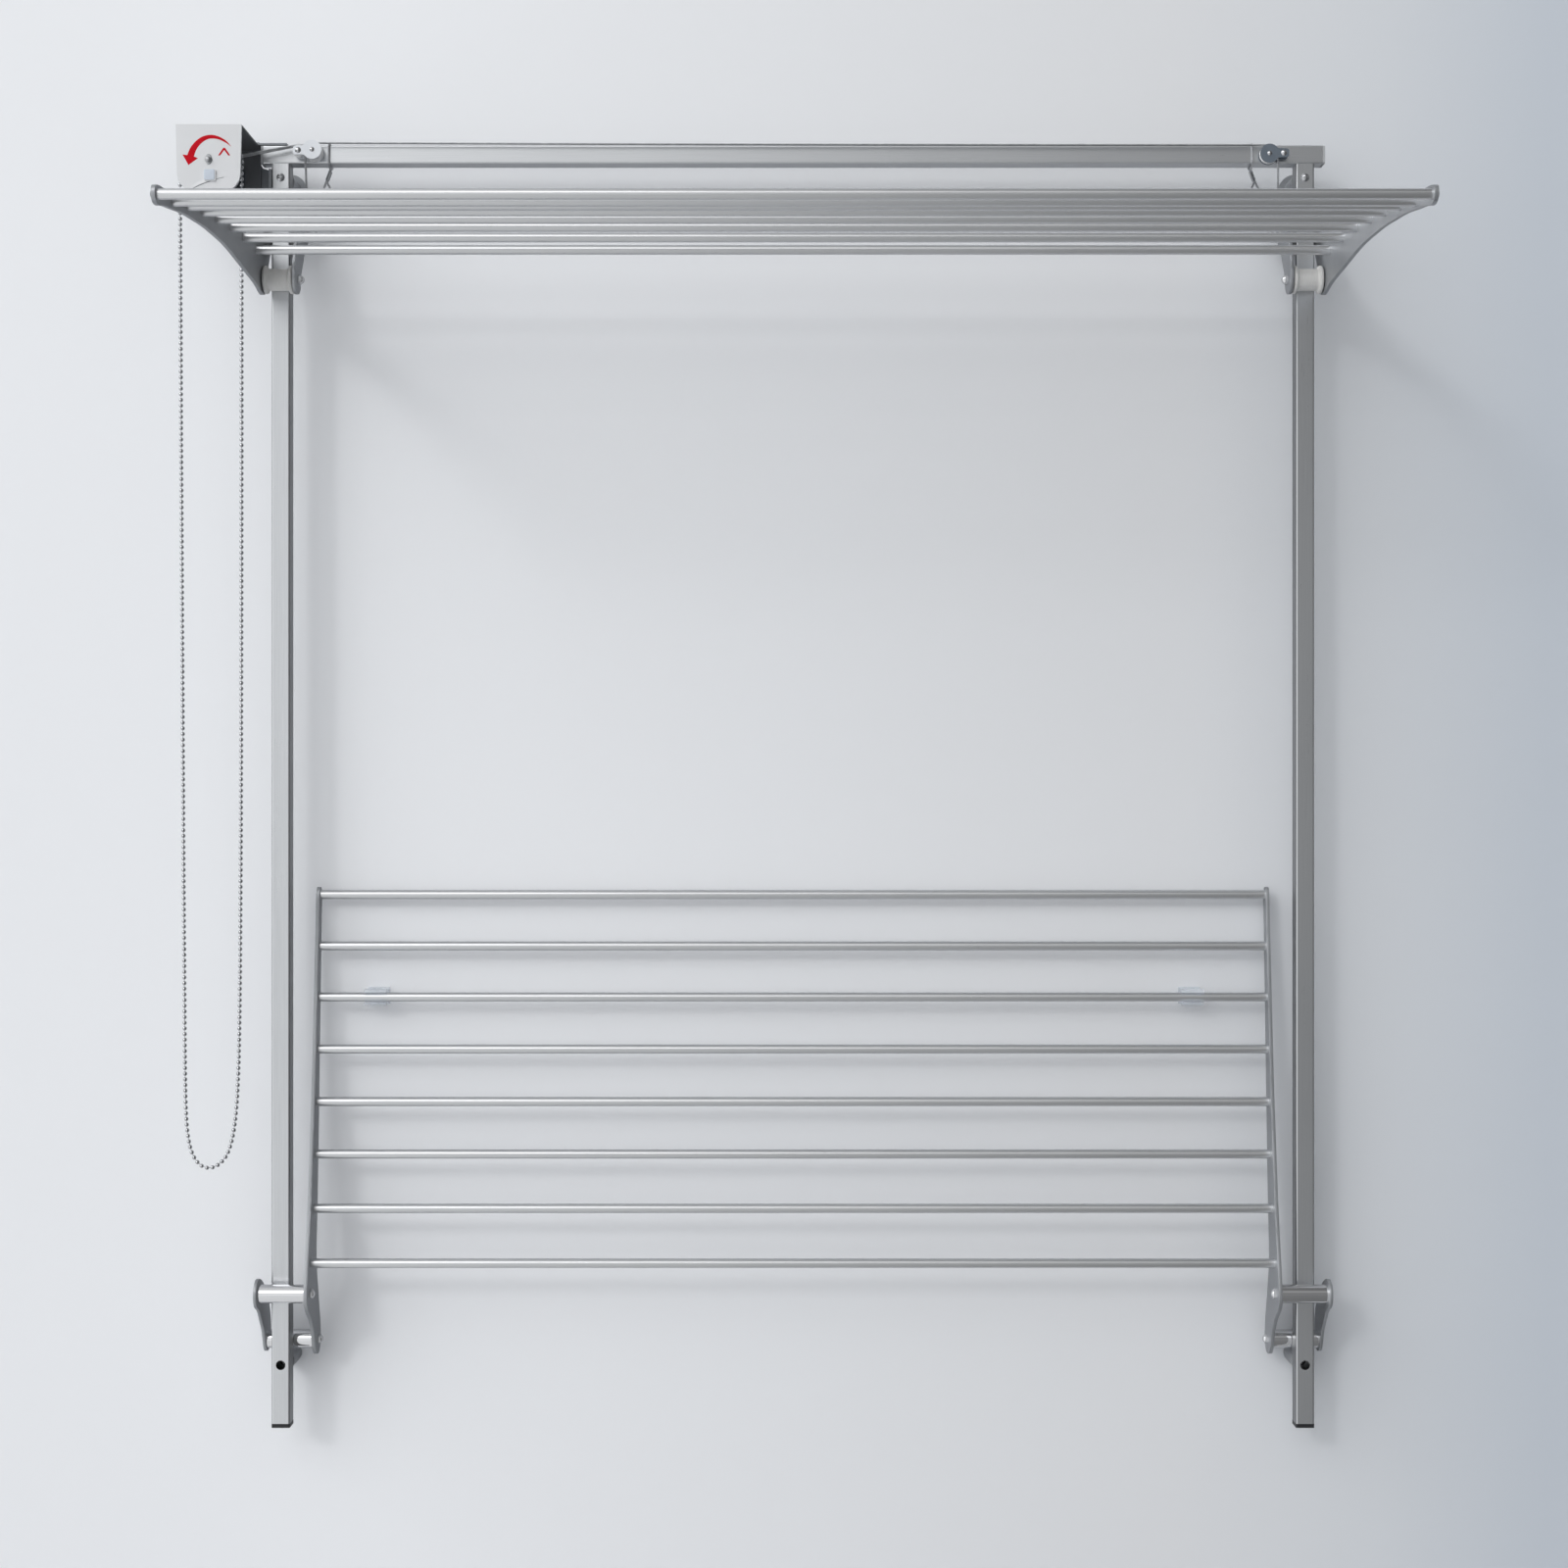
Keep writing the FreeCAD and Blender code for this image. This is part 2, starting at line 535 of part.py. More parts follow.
def sheave(name, c, y0, y1, rim, groove):
    b = P["pin_rad"] + 0.06
    w = y1 - y0
    body = revolved(name, [(y0, b), (y0, rim), (y0 + 0.9, rim), (y0 + w / 2 - 1.1, groove), (y0 + w / 2 + 1.1, groove),
                           (y1 - 0.9, rim), (y1, rim), (y1, b)], "Y")
    place(body, (c[0], 0, c[1]))
    return node(name, body)


sheave("left_sheave", LB, -69.2, -63.0, P["sheave_rad"], P["sheave_groove"])
sheave("left_guide_roller", LG, -76.2, -70.0, P["guide_rad"], P["guide_groove"])
sheave("right_sheave", RB, -69.8, -63.6, P["sheave_rad"], P["sheave_groove"])

# ---------------------------------------------------------------- cables
cr = P["cable_rad"]


def rod_between(name, a, b, rad):
    """Straight round solid from point a to point b."""
    va, vb = Vector(*a), Vector(*b)
    dv = vb - va
    o = doc.addObject("Part::Cylinder", name)
    bind(o, "Radius", rad)
    o.Height = dv.Length
    o.Placement = Placement(va, Rotation(Vector(0, 0, 1), dv))
    return o


def tangent_over(c1, r1, c2, r2):
    """Upper common tangent of two circles in the XZ plane, from c1 (left) to c2."""
    dx, dz = c2[0] - c1[0], c2[1] - c1[1]
    dist = math.hypot(dx, dz)
    a = math.atan2(dz, dx) + math.acos((r1 - r2) / dist)
    return ((c1[0] + r1 * math.cos(a), c1[1] + r1 * math.sin(a)),
            (c2[0] + r2 * math.cos(a), c2[1] + r2 * math.sin(a)))


wr = dr + 2.3 + cr + 0.2       # the strand lies on the wound layer
lead = []
for c2, r2, ya, yb2 in ((LG, P["guide_groove"] + cr + 0.45, -80.0, -73.1), (LB, P["sheave_groove"] + cr + 0.25, -72.0, -66.1)):
    a, b = tangent_over((wx, wz), wr, c2, r2)
    lead.append(rod_between("winch_strand", (a[0], ya, a[1]), (b[0], yb2, b[1]), "cable_rad"))
node("cable_winch_run", group("cable_winch_run", lead))

a, b = tangent_over(LB, P["sheave_groove"] + cr + 0.25, RB, P["sheave_groove"] + cr + 0.25)
node("cable_cross_run", rod_between("cable_cross_run", (a[0], -66.1, a[1]), (b[0], -66.7, b[1]), "cable_rad"))

# loops of cable tied round the beam
loops_ = []
for x in (-505.5, 500.5):
    ring = doc.addObject("PartDesign::Body", "beam_loop")
    sk = sketch_on(ring, "loop_outline", "YZ_Plane", x)
    rounded(sk, side / 2 + 0.15 + 2 * cr, side / 2 + 0.15 + 2 * cr, 3.6, cy, P["beam_low"] + side / 2)
    rounded(sk, side / 2 + 0.15, side / 2 + 0.15, 1.4, cy, P["beam_low"] + side / 2)
    pad(ring, "loop_ring", sk, "2 * cable_rad", midplane=True)
    loops_.append(ring)
node("beam_cable_loops", group("beam_cable_loops", loops_))

def tube_along(pts, rad):
    """Round tube solid along straight runs joined by tangent arcs, each as large as its runs allow."""
    vs = [Vector(*p) for p in pts]
    edges, cur, radii = [], vs[0], []
    for i in range(1, len(vs) - 1):
        u, w = vs[i] - vs[i - 1], vs[i + 1] - vs[i]
        lu, lw = u.Length, w.Length
        u.normalize()
        w.normalize()
        turn = u.getAngle(w)
        if turn < 2e-4:
            continue
        r = 0.45 * min(lu, lw) / math.tan(turn / 2)
        cutb = 0.45 * min(lu, lw)
        a, b = vs[i] - u * cutb, vs[i] + w * cutb
        n = (w - u)
        n.normalize()
        mid = vs[i] + n * (r / math.cos(turn / 2) - r)
        edges.append(Part.LineSegment(cur, a).toShape())
        edges.append(Part.Arc(a, mid, b).toShape())
        radii.append(r)
        cur = b
    edges.append(Part.LineSegment(cur, vs[-1]).toShape())
    wire = Part.Wire(edges)
    start = edges[0].tangentAt(edges[0].FirstParameter)
    prof = Part.Wire([Part.Circle(vs[0], start, rad).toShape()])
    solid = wire.makePipeShell([prof], True, False)
    if solid.ShapeType != "Solid":
        solid = Part.Solid(solid)
    return solid, wire, radii


# drops from the beam to the grooved guides on the rear axles; both sides start at one height
ztie = 659.4
ry, rz = P["rear_y"], P["rear_z"]
gx = 533.7


def on_line(p, q, z):
    f = (z - p[2]) / (q[2] - p[2])
    return tuple(p[i] + f * (q[i] - p[i]) for i in range(3))


for name, sx, top, loop_x in (("cable_drops_left", -1, (LG[0] + P["guide_groove"] + cr + 0.45, -73.1, LG[1]), -505.5),
                              ("cable_drops_right", 1, (RB[0] + P["sheave_groove"] + cr + 0.45, -66.7, RB[1]), 500.5)):
    foot_a = (sx * gx, ry - 6.2, rz)
    start_a = on_line(top, foot_a, ztie)
    anchor = doc.addObject("Part::Feature", name + "_anchor")
    anchor.Shape = tube_along([(loop_x + sx * 1.0, cy + 2.0, ztie), (sx * (gx - 0.2), ry + 5.6, rz + 14.0),
                               (sx * gx, ry + 6.1, rz)], cr)[0]
    drops = [rod_between(name + "_lift", start_a, foot_a, "cable_rad"), anchor]
    node(name, group(name, drops))
    upper = rod_between(name + "_upper", top, on_line(top, foot_a, ztie + 0.02), "cable_rad")
    lead.append(upper)
nodes["cable_winch_run"].Links = lead

# ---------------------------------------------------------------- bead chain (a free loop of #10 chain)
chr_ = P["chain_dia"] / 2
CH_Y = -129.0
# route of the hanging loop, from the wheel's left side down, round the bottom and up
chain_route = [(-650.4, 645.9), (-650.3, 586.0), (-650.1, 526.0), (-649.7, 466.0), (-649.4, 406.0), (-649.2, 346.0),
               (-648.8, 286.0), (-648.5, 226.0), (-648.2, 166.0), (-647.8, 106.0), (-647.5, 46.0), (-647.1, -14.0),
               (-646.8, -74.0), (-646.4, -134.0), (-646.0, -194.0), (-645.6, -254.0), (-645.2, -310.0), (-644.6, -350.0),
               (-643.2, -381.0), (-638.6, -406.0), (-628.0, -420.6), (-613.4, -421.4), (-600.4, -409.0), (-593.6, -386.0),
               (-590.2, -355.0), (-588.2, -314.0), (-587.2, -258.0), (-586.6, -198.0), (-586.2, -138.0), (-585.9, -78.0),
               (-585.7, -18.0), (-585.5, 42.0), (-585.4, 102.0), (-585.3, 162.0), (-585.2, 222.0), (-585.2, 282.0),
               (-585.1, 342.0), (-585.1, 402.0), (-585.1, 462.0), (-585.1, 522.0), (-585.1, 584.0), (-585.1, 645.9)]


pts3 = [(x, CH_Y, z) for x, z in chain_route]
hang, wire, radii = tube_along(pts3, chr_)
# the rest of the loop lies in the wheel's groove, half a turn over the top
arc = Part.Arc(Vector(-585.1, CH_Y, wz), Vector(wx, CH_Y, wz + P["chain_pitch_rad"]), Vector(-650.4, CH_Y, wz)).toShape()
prof = Part.Wire([Part.Circle(Vector(-585.1, CH_Y, wz), Vector(0, 0, 1), chr_).toShape()])
over = Part.Wire([arc]).makePipeShell([prof], True, False)
chain = doc.addObject("Part::Feature", "bead_chain")
chain.Shape = hang
node("bead_chain", chain)
chain_top = doc.addObject("Part::Feature", "bead_chain_on_wheel")
chain_top.Shape = over
node("bead_chain_on_wheel", chain_top)
print("chain: length %.1f mm, tube volume %.1f, section x length %.1f, radii %s" % (
    wire.Length, hang.Volume, math.pi * chr_ ** 2 * wire.Length, " ".join("%.0f" % r for r in radii)))

# ---------------------------------------------------------------- upper rack
fy, fz = P["front_y"], P["front_z"]
upper_rods = [(-106.0, 558.0), (-164.6, 557.6), (-222.9, 554.8), (-281.8, 549.1),
              (-338.7, 542.6), (-395.3, 534.5), (-448.3, 525.2), (-503.0, 518.0)]


def plate_body(name, outline_yz, x0, thick, holes):
    """Flat plate in a YZ plane with a smooth outline; holes are (y, z, radius)."""
    body = doc.addObject("PartDesign::Body", name)
    sk = sketch_on(body, name + "_outline", "YZ_Plane", x0)
    smooth_loop(sk, outline_yz)
    pad(body, name + "_plate", sk, thick)
    doc.recompute()
    sk = sketch_on(body, name + "_holes", "YZ_Plane", x0 - 5.0)
    for y, z, r in holes:
        sk.addGeometry(Part.Circle(Vector(y, z, 0), Vector(0, 0, 1), r), False)
    pocket(body, name + "_drilling", sk, reversed_=True)
    return body


def from_rear(pts):
    return [(ry - u, rz + v) for u, v in pts]


# outline round the rear axle, along the top over the rods, round the front rod and back
blade_pts = from_rear(
    [(-13.0, 0.0), (-9.5, 9.0), (0.0, 13.2), (12.0, 9.5), (28.0, -3.0), (50.0, -16.0), (78.0, -24.5),
     (107.0, -26.6), (136.6, -26.8), (195.0, -29.2), (254.0, -34.8), (311.0, -41.4), (367.0, -49.6), (420.0, -59.0),
     (455.0, -63.4), (475.0, -65.6), (482.5, -69.0), (484.0, -74.5), (481.0, -80.5), (474.0, -83.0),
     (458.0, -80.4), (431.0, -76.0), (389.0, -69.8), (344.0, -65.4), (298.0, -61.9), (256.0, -60.6), (219.0, -60.2),
     (180.0, -62.0), (140.0, -65.0), (99.0, -67.8), (72.0, -70.5), (56.0, -73.6), (44.0, -75.0), (33.5, -71.6),
     (28.4, -62.0), (25.0, -50.0), (17.6, -37.0), (7.6, -22.5), (-6.0, -11.6)])
bracket_pts = from_rear(
    [(-13.0, 0.0), (-9.5, 9.0), (0.0, 13.2), (12.0, 12.0), (25.0, 6.0), (36.0, -2.5), (46.0, -13.0), (53.0, -28.0), (58.0, -42.0),
     (60.0, -56.0), (58.6, -65.5), (53.0, -72.0), (44.0, -74.6), (35.0, -71.6), (29.2, -64.5), (27.2, -54.0),
     (18.0, -37.7), (7.6, -22.5), (-6.0, -11.0)])
hole_fit = P["axle_rad"] + 0.06
rod_holes_upper = [(y, z, 2.9) for y, z in upper_rods]
for sx, side_name in ((-1, "left"), (1, "right")):
    x0 = P["upper_rod_half"] if sx > 0 else -P["upper_rod_half"] - P["blade_thick"]
    b = plate_body("upper_blade_" + side_name, blade_pts, x0, "blade_thick",
                   [(ry, rz, hole_fit), (fy, fz, hole_fit)] + rod_holes_upper)
    node("upper_blade_" + side_name, b)
br = []
for sx in (-1, 1):
    x0 = 537.0 if sx > 0 else -540.5
    br.append(plate_body("upper_bracket", bracket_pts, x0, "bracket_thick", [(ry, rz, hole_fit), (fy, fz, hole_fit)]))
node("upper_brackets", group("upper_brackets", br))


def rods(name, places, half):
    outer, inner = [], []
    for y, z in places:
        outer.append(cyl(name + "_outer", "rod_rad", "2 * " + half, ("0 - " + half, y, z), "X"))
        inner.append(cyl(name + "_inner", "rod_bore", 2 * P[half] + 20, (-P[half] - 10, y, z), "X"))
    solids = [cut(name + "_rod", o, i) for o, i in zip(outer, inner)]
    return node(name, group(name, solids))


rods("upper_rods", upper_rods, "upper_rod_half")


def rod_screws(name, places, x_face, head_r, head_h):
    out = []
    for sx in (-1, 1):
        for y, z in places:
            ax = "X" if sx > 0 else "-X"
            back = "-X" if sx > 0 else "X"
            out.append(fuse(name + "_one", [
                cyl(name + "_shank", 2.88, P["blade_thick"] + 14.0, (sx * x_face, y, z), back),
                dome(name + "_head", head_r, head_h, (sx * x_face, y, z), ax)]))
    return node(name, group(name, out))


xo = P["upper_rod_half"] + P["blade_thick"]
rod_screws("upper_rod_screws", upper_rods[:-1], xo, 4.2, 1.5)
rod_screws("upper_rod_caps", upper_rods[-1:], xo, 5.6, 2.6)

# axles: head outside the blade, acorn nut inside the bracket
rear_b, front_b, rear_n, front_n, guides = [], [], [], [], []
for sx in (-1, 1):
    inw = "-X" if sx > 0 else "X"
    out = "X" if sx > 0 else "-X"
    for (y, z), blist, nlist, x_in in (((ry, rz), rear_b, rear_n, 528.6), ((fy, fz), front_b, front_n, 534.8)):
        blist.append(fuse("axle_one", [
            cyl("axle_shank", "axle_rad", xo + 0.2 - x_in, (sx * (xo + 0.2), y, z), inw),
            dome("axle_head", "axle_head_rad", 2.4, (sx * (xo + 0.2), y, z), out)]))
    # rear nut sits inside the cable guide
    for (y, z), x_face, x_in, nlist in (((ry, rz), 530.4, 528.6, rear_n), ((fy, fz), 536.8, 534.8, front_n)):
        hexagon = doc.addObject("Part::Prism", "nut_hex")
        hexagon.Polygon = 6
        bind(hexagon, "Circumradius", "nut_rad")
        hexagon.Height = 3.4
        hexagon.Placement = Placement(Vector(sx * x_face, y, z), AXES[inw])
        crown = dome("nut_crown", 4.4, 3.4, (sx * (x_face - 3.4), y, z), inw)
        bore = cyl("nut_bore", P["axle_rad"], x_face - x_in + 0.01, (sx * (x_face + 0.01), y, z), inw)
        nlist.append(cut("nut_one", fuse("nut_blank", [hexagon, crown]), bore))
    gprof = revolved("guide_one", [(530.6, 4.06), (530.6, 8.6), (531.4, 8.6), (532.4, 4.6), (535.0, 4.6), (536.0, 8.6), (536.7, 8.6), (536.7, 4.06)]
                     if sx > 0 else [(-536.7, 4.06), (-536.7, 8.6), (-536.0, 8.6), (-535.0, 4.6), (-532.4, 4.6), (-531.4, 8.6), (-530.6, 8.6), (-530.6, 4.06)], "X")
    place(gprof, (0, "rear_y", "rear_z"))
    guides.append(gprof)
node("rear_axle_bolts", group("rear_axle_bolts", rear_b))
node("front_axle_bolts", group("front_axle_bolts", front_b))
node("rear_acorn_nuts", group("rear_acorn_nuts", rear_n))
node("front_acorn_nuts", group("front_acorn_nuts", front_n))
node("cable_guides", group("cable_guides", guides))


def roller(name, sx, y_word, z_word):
    """Hourglass roller: a waist as wide as the post between two rims."""
    w, f, b, half = P["roller_waist"], P["roller_flange"], P["roller_bore"], P["roller_len"] / 2
    xc = sx * 557.5
    pts = [(-half, b), (-half, f - 2.0), (-half + 0.9, f - 0.5), (-half + 2.6, f), (-half + 4.0, f - 0.5), (-11.2, w + 1.2), (-10.2, w + 0.1), (-9.4, w),
           (9.4, w), (10.2, w + 0.1), (11.2, w + 1.2), (half - 4.0, f - 0.5), (half - 2.6, f), (half - 0.9, f - 0.5), (half, f - 2.0), (half, b)]
    body = revolved(name, [(xc + a_, r_) for a_, r_ in pts], "X")
    place(body, (0, y_word, z_word))
    return node(name, body)


roller("rear_roller_left", -1, "rear_y", "rear_z")
roller("rear_roller_right", 1, "rear_y", "rear_z")
roller("front_roller_left", -1, "front_y", "front_z")
roller("front_roller_right", 1, "front_y", "front_z")

# ---------------------------------------------------------------- lower rack, folded up between the posts
ly, lz, ly2, lz2 = P["low_rear_y"], P["low_rear_z"], P["low_front_y"], P["low_front_z"]
lower_rods = [(-67.0, -534.8), (-52.5, -477.8), (-42.0, -420.0), (-35.0, -363.4),
              (-29.0, -306.3), (-23.5, -249.3), (-18.5, -193.2), (-14.0, -136.5)]
lower_blade = [(-15.0, -626.0), (-16.2, -612.0), (-22.0, -594.0), (-29.0, -572.0), (-35.0, -552.0), (-38.0, -532.0), (-35.4, -500.0),
               (-33.0, -478.0), (-28.0, -420.0), (-24.0, -363.0), (-20.0, -306.0), (-15.6, -249.0), (-11.4, -193.0),
               (-7.8, -150.0), (-7.0, -136.0), (-9.6, -130.0), (-14.0, -128.0), (-18.6, -130.2), (-21.2, -136.5), (-22.4, -150.0),
               (-27.0, -193.0), (-34.0, -249.0), (-41.0, -306.0), (-49.0, -363.0), (-59.0, -420.0), (-70.0, -478.0),
               (-80.5, -520.0), (-87.0, -545.0), (-90.8, -562.0), (-90.4, -574.0), (-85.0, -582.0), (-75.5, -589.0), (-64.0, -598.5),
               (-55.0, -609.5), (-48.6, -621.0), (-44.0, -632.0), (-37.0, -639.8), (-29.0, -642.0), (-20.6, -639.0)]
for sx, side_name in ((-1, "left"), (1, "right")):
    x0 = P["lower_rod_half"] if sx > 0 else -P["lower_rod_half"] - P["blade_thick"]
    b = plate_body("lower_blade_" + side_name, lower_blade, x0, "blade_thick",
                   [(ly, lz, 4.0), (ly2, lz2, 4.0)] + [(y, z, 2.9) for y, z in lower_rods])
    node("lower_blade_" + side_name, b)


def turned(pts, deg):
    c, s_ = math.cos(math.radians(deg)), math.sin(math.radians(deg))
    out = []
    for u, v in pts:
        out.append((ly - (u * c - v * s_), lz + (u * s_ + v * c)))
    return out


low_bracket_local = [(-13.0, 0.0), (-9.5, 9.0), (0.0, 13.2), (12.0, 12.0), (25.0, 6.0), (36.0, -2.5), (46.0, -13.0), (53.0, -28.0),
                     (58.0, -42.0), (60.5, -57.0), (59.2, -66.5), (53.5, -73.0), (44.5, -75.6), (35.5, -72.6), (29.7, -65.5),
                     (27.4, -54.0), (18.0, -37.7), (7.6, -22.5), (-6.0, -11.0)]
lb = []
for sx in (-1, 1):
    x0 = 578.5 if sx > 0 else -582.0
    lb.append(plate_body("lower_bracket", turned(low_bracket_local, 105.9), x0, "bracket_thick", [(ly, lz, 4.0), (ly2, lz2, 4.0)]))
node("lower_brackets", group("lower_brackets", lb))
rods("lower_rods", lower_rods, "lower_rod_half")
rod_screws("lower_rod_screws", lower_rods, P["lower_rod_half"] + P["blade_thick"], 4.0, 1.4)

xa, xb = P["lower_rod_half"] + P["blade_thick"], 578.5
for name, y, z in (("lower_rear_tubes", ly, lz), ("lower_front_tubes", ly2, lz2)):
    tubes = []
    for sx in (-1, 1):
        x0 = xa if sx > 0 else -xb
        o = cyl(name + "_outer", "tube_rad", xb - xa, (x0, y, z), "X")
        i = cyl(name + "_inner", "tube_bore", xb - xa - 6.0, (x0 + 3.0, y, z), "X")
        c1 = cut(name + "_shell", o, i)
        drill = cyl(name + "_drill", 4.0, xb - xa + 4.0, (x0 - 2.0, y, z), "X")
        tubes.append(cut(name + "_one", c1, drill))
    node(name, group(name, tubes))
lbolts, lnuts = [], []
for sx in (-1, 1):
    inw = "-X" if sx > 0 else "X"
    out = "X" if sx > 0 else "-X"
    for y, z in ((ly, lz), (ly2, lz2)):
        lbolts.append(fuse("lower_bolt_one", [
            cyl("lower_bolt_shank", 4.0, 582.0 - 521.0, (sx * 582.0, y, z), inw),
            dome("lower_bolt_head", "axle_head_rad", 2.4, (sx * 582.0, y, z), out)]))
        hexagon = doc.addObject("Part::Prism", "nut_hex")
        hexagon.Polygon = 6
        bind(hexagon, "Circumradius", "nut_rad")
        hexagon.Height = 3.0
        hexagon.Placement = Placement(Vector(sx * 523.5, y, z), AXES[inw])
        crown = dome("nut_crown", 4.2, 2.6, (sx * 520.5, y, z), inw)
        bore = cyl("nut_bore", 4.0, 2.51, (sx * 523.51, y, z), inw)
        lnuts.append(cut("lower_nut_one", fuse("nut_blank", [hexagon, crown]), bore))
node("lower_bolts", group("lower_bolts", lbolts))
node("lower_acorn_nuts", group("lower_acorn_nuts", lnuts))

# ---------------------------------------------------------------- check and write
doc.recompute()
bad = []
for o in doc.Objects:
    if "Invalid" in o.State or "Error" in o.State:
        bad.append("%s (%s): %s" % (o.Name, o.Label, o.State))
for name, o in nodes.items():
    s = o.Shape
    if s.isNull() or not s.isValid():
        bad.append(name + ": null or invalid shape")
    elif not s.Solids:
        bad.append(name + ": no solid")
if bad:
    raise RuntimeError("\n".join(bad))
os.makedirs("parts", exist_ok=True)
for name, o in nodes.items():
    o.Shape.exportStep("parts/%s.step" % name)
    bb = o.Shape.BoundBox
    print("%-22s solids %2d vol %10.1f  x %.1f..%.1f y %.1f..%.1f z %.1f..%.1f" % (
        name, len(o.Shape.Solids), o.Shape.Volume, bb.XMin, bb.XMax, bb.YMin, bb.YMax, bb.ZMin, bb.ZMax))
print(len(nodes), "nodes")
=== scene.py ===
import bpy, bmesh, math
import numpy as np
from mathutils import Vector, Matrix


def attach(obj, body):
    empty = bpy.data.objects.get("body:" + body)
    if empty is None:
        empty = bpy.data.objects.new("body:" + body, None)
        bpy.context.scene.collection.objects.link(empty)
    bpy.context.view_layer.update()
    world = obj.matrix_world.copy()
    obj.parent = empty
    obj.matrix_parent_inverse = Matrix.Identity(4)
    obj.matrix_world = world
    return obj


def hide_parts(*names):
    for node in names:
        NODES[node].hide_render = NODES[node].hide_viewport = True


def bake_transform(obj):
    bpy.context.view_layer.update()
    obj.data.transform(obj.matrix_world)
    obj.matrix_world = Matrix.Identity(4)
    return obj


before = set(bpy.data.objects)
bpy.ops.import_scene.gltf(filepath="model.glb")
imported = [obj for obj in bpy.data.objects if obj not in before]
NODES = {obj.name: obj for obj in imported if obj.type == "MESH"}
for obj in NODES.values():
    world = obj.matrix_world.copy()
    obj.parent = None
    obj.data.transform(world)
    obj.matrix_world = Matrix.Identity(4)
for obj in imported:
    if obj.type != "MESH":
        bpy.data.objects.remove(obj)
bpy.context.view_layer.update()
MM = 0.001
SC = bpy.context.scene
rng = np.random.default_rng(7)

# ------------------------------------------------------------------ camera
cam_data = bpy.data.cameras.new("view_camera")
cam_data.lens = 53.89
cam_data.sensor_width = 36.0
cam_data.clip_start, cam_data.clip_end = 0.05, 60.0
cam = bpy.data.objects.new("view_camera", cam_data)
cam.location = (-0.0097, -2.619, -0.0138)
cam.rotation_euler = (math.radians(90.0), 0.0, 0.0)
SC.collection.objects.link(cam)
SC.camera = cam
SC.view_settings.view_transform = "Standard"


# ------------------------------------------------------------------ node helpers
def ramp(nt, fac, stops, interp="EASE"):
    n = nt.nodes.new("ShaderNodeValToRGB")
    n.color_ramp.interpolation = interp
    el = n.color_ramp.elements
    while len(el) > 1:
        el.remove(el[-1])
    for i, (p, c) in enumerate(stops):
        e = el[0] if i == 0 else el.new(p)
        e.position = p
        c = (c, c, c) if isinstance(c, (int, float)) else c
        e.color = (*c, 1.0)
    if fac is not None:
        nt.links.new(fac, n.inputs["Fac"])
    return n.outputs["Color"]


def math_node(nt, op, a, b=None, clamp=False):
    n = nt.nodes.new("ShaderNodeMath")
    n.operation = op
    n.use_clamp = clamp
    for k, v in enumerate((a, b)):
        if v is None:
            continue
        if isinstance(v, (int, float)):
            n.inputs[k].default_value = v
        else:
            nt.links.new(v, n.inputs[k])
    return n.outputs[0]


def mixc(nt, fac, a, b, mode="MIX"):
    n = nt.nodes.new("ShaderNodeMix")
    n.data_type = "RGBA"
    n.blend_type = mode
    for sock, v in ((n.inputs[0], fac), (n.inputs[6], a), (n.inputs[7], b)):
        if isinstance(v, (int, float)):
            sock.default_value = v
        elif isinstance(v, tuple):
            sock.default_value = (*v, 1.0)
        else:
            nt.links.new(v, sock)
    return n.outputs[2]


def coords(nt, scale):
    tc = nt.nodes.new("ShaderNodeTexCoord")
    mp = nt.nodes.new("ShaderNodeMapping")
    mp.inputs["Scale"].default_value = scale
    nt.links.new(tc.outputs["Object"], mp.inputs["Vector"])
    return mp.outputs["Vector"]


def noise(nt, scale3, detail=3.0, rough=0.55, size=1.0):
    n = nt.nodes.new("ShaderNodeTexNoise")
    n.inputs["Scale"].default_value = size
    n.inputs["Detail"].default_value = detail
    n.inputs["Roughness"].default_value = rough
    nt.links.new(coords(nt, scale3), n.inputs["Vector"])
    return n.outputs["Fac"]


def bump(nt, height, strength, distance, after=None):
    n = nt.nodes.new("ShaderNodeBump")
    n.inputs["Strength"].default_value = strength
    n.inputs["Distance"].default_value = distance
    nt.links.new(height, n.inputs["Height"])
    if after is not None:
        nt.links.new(after, n.inputs["Normal"])
    return n.outputs["Normal"]


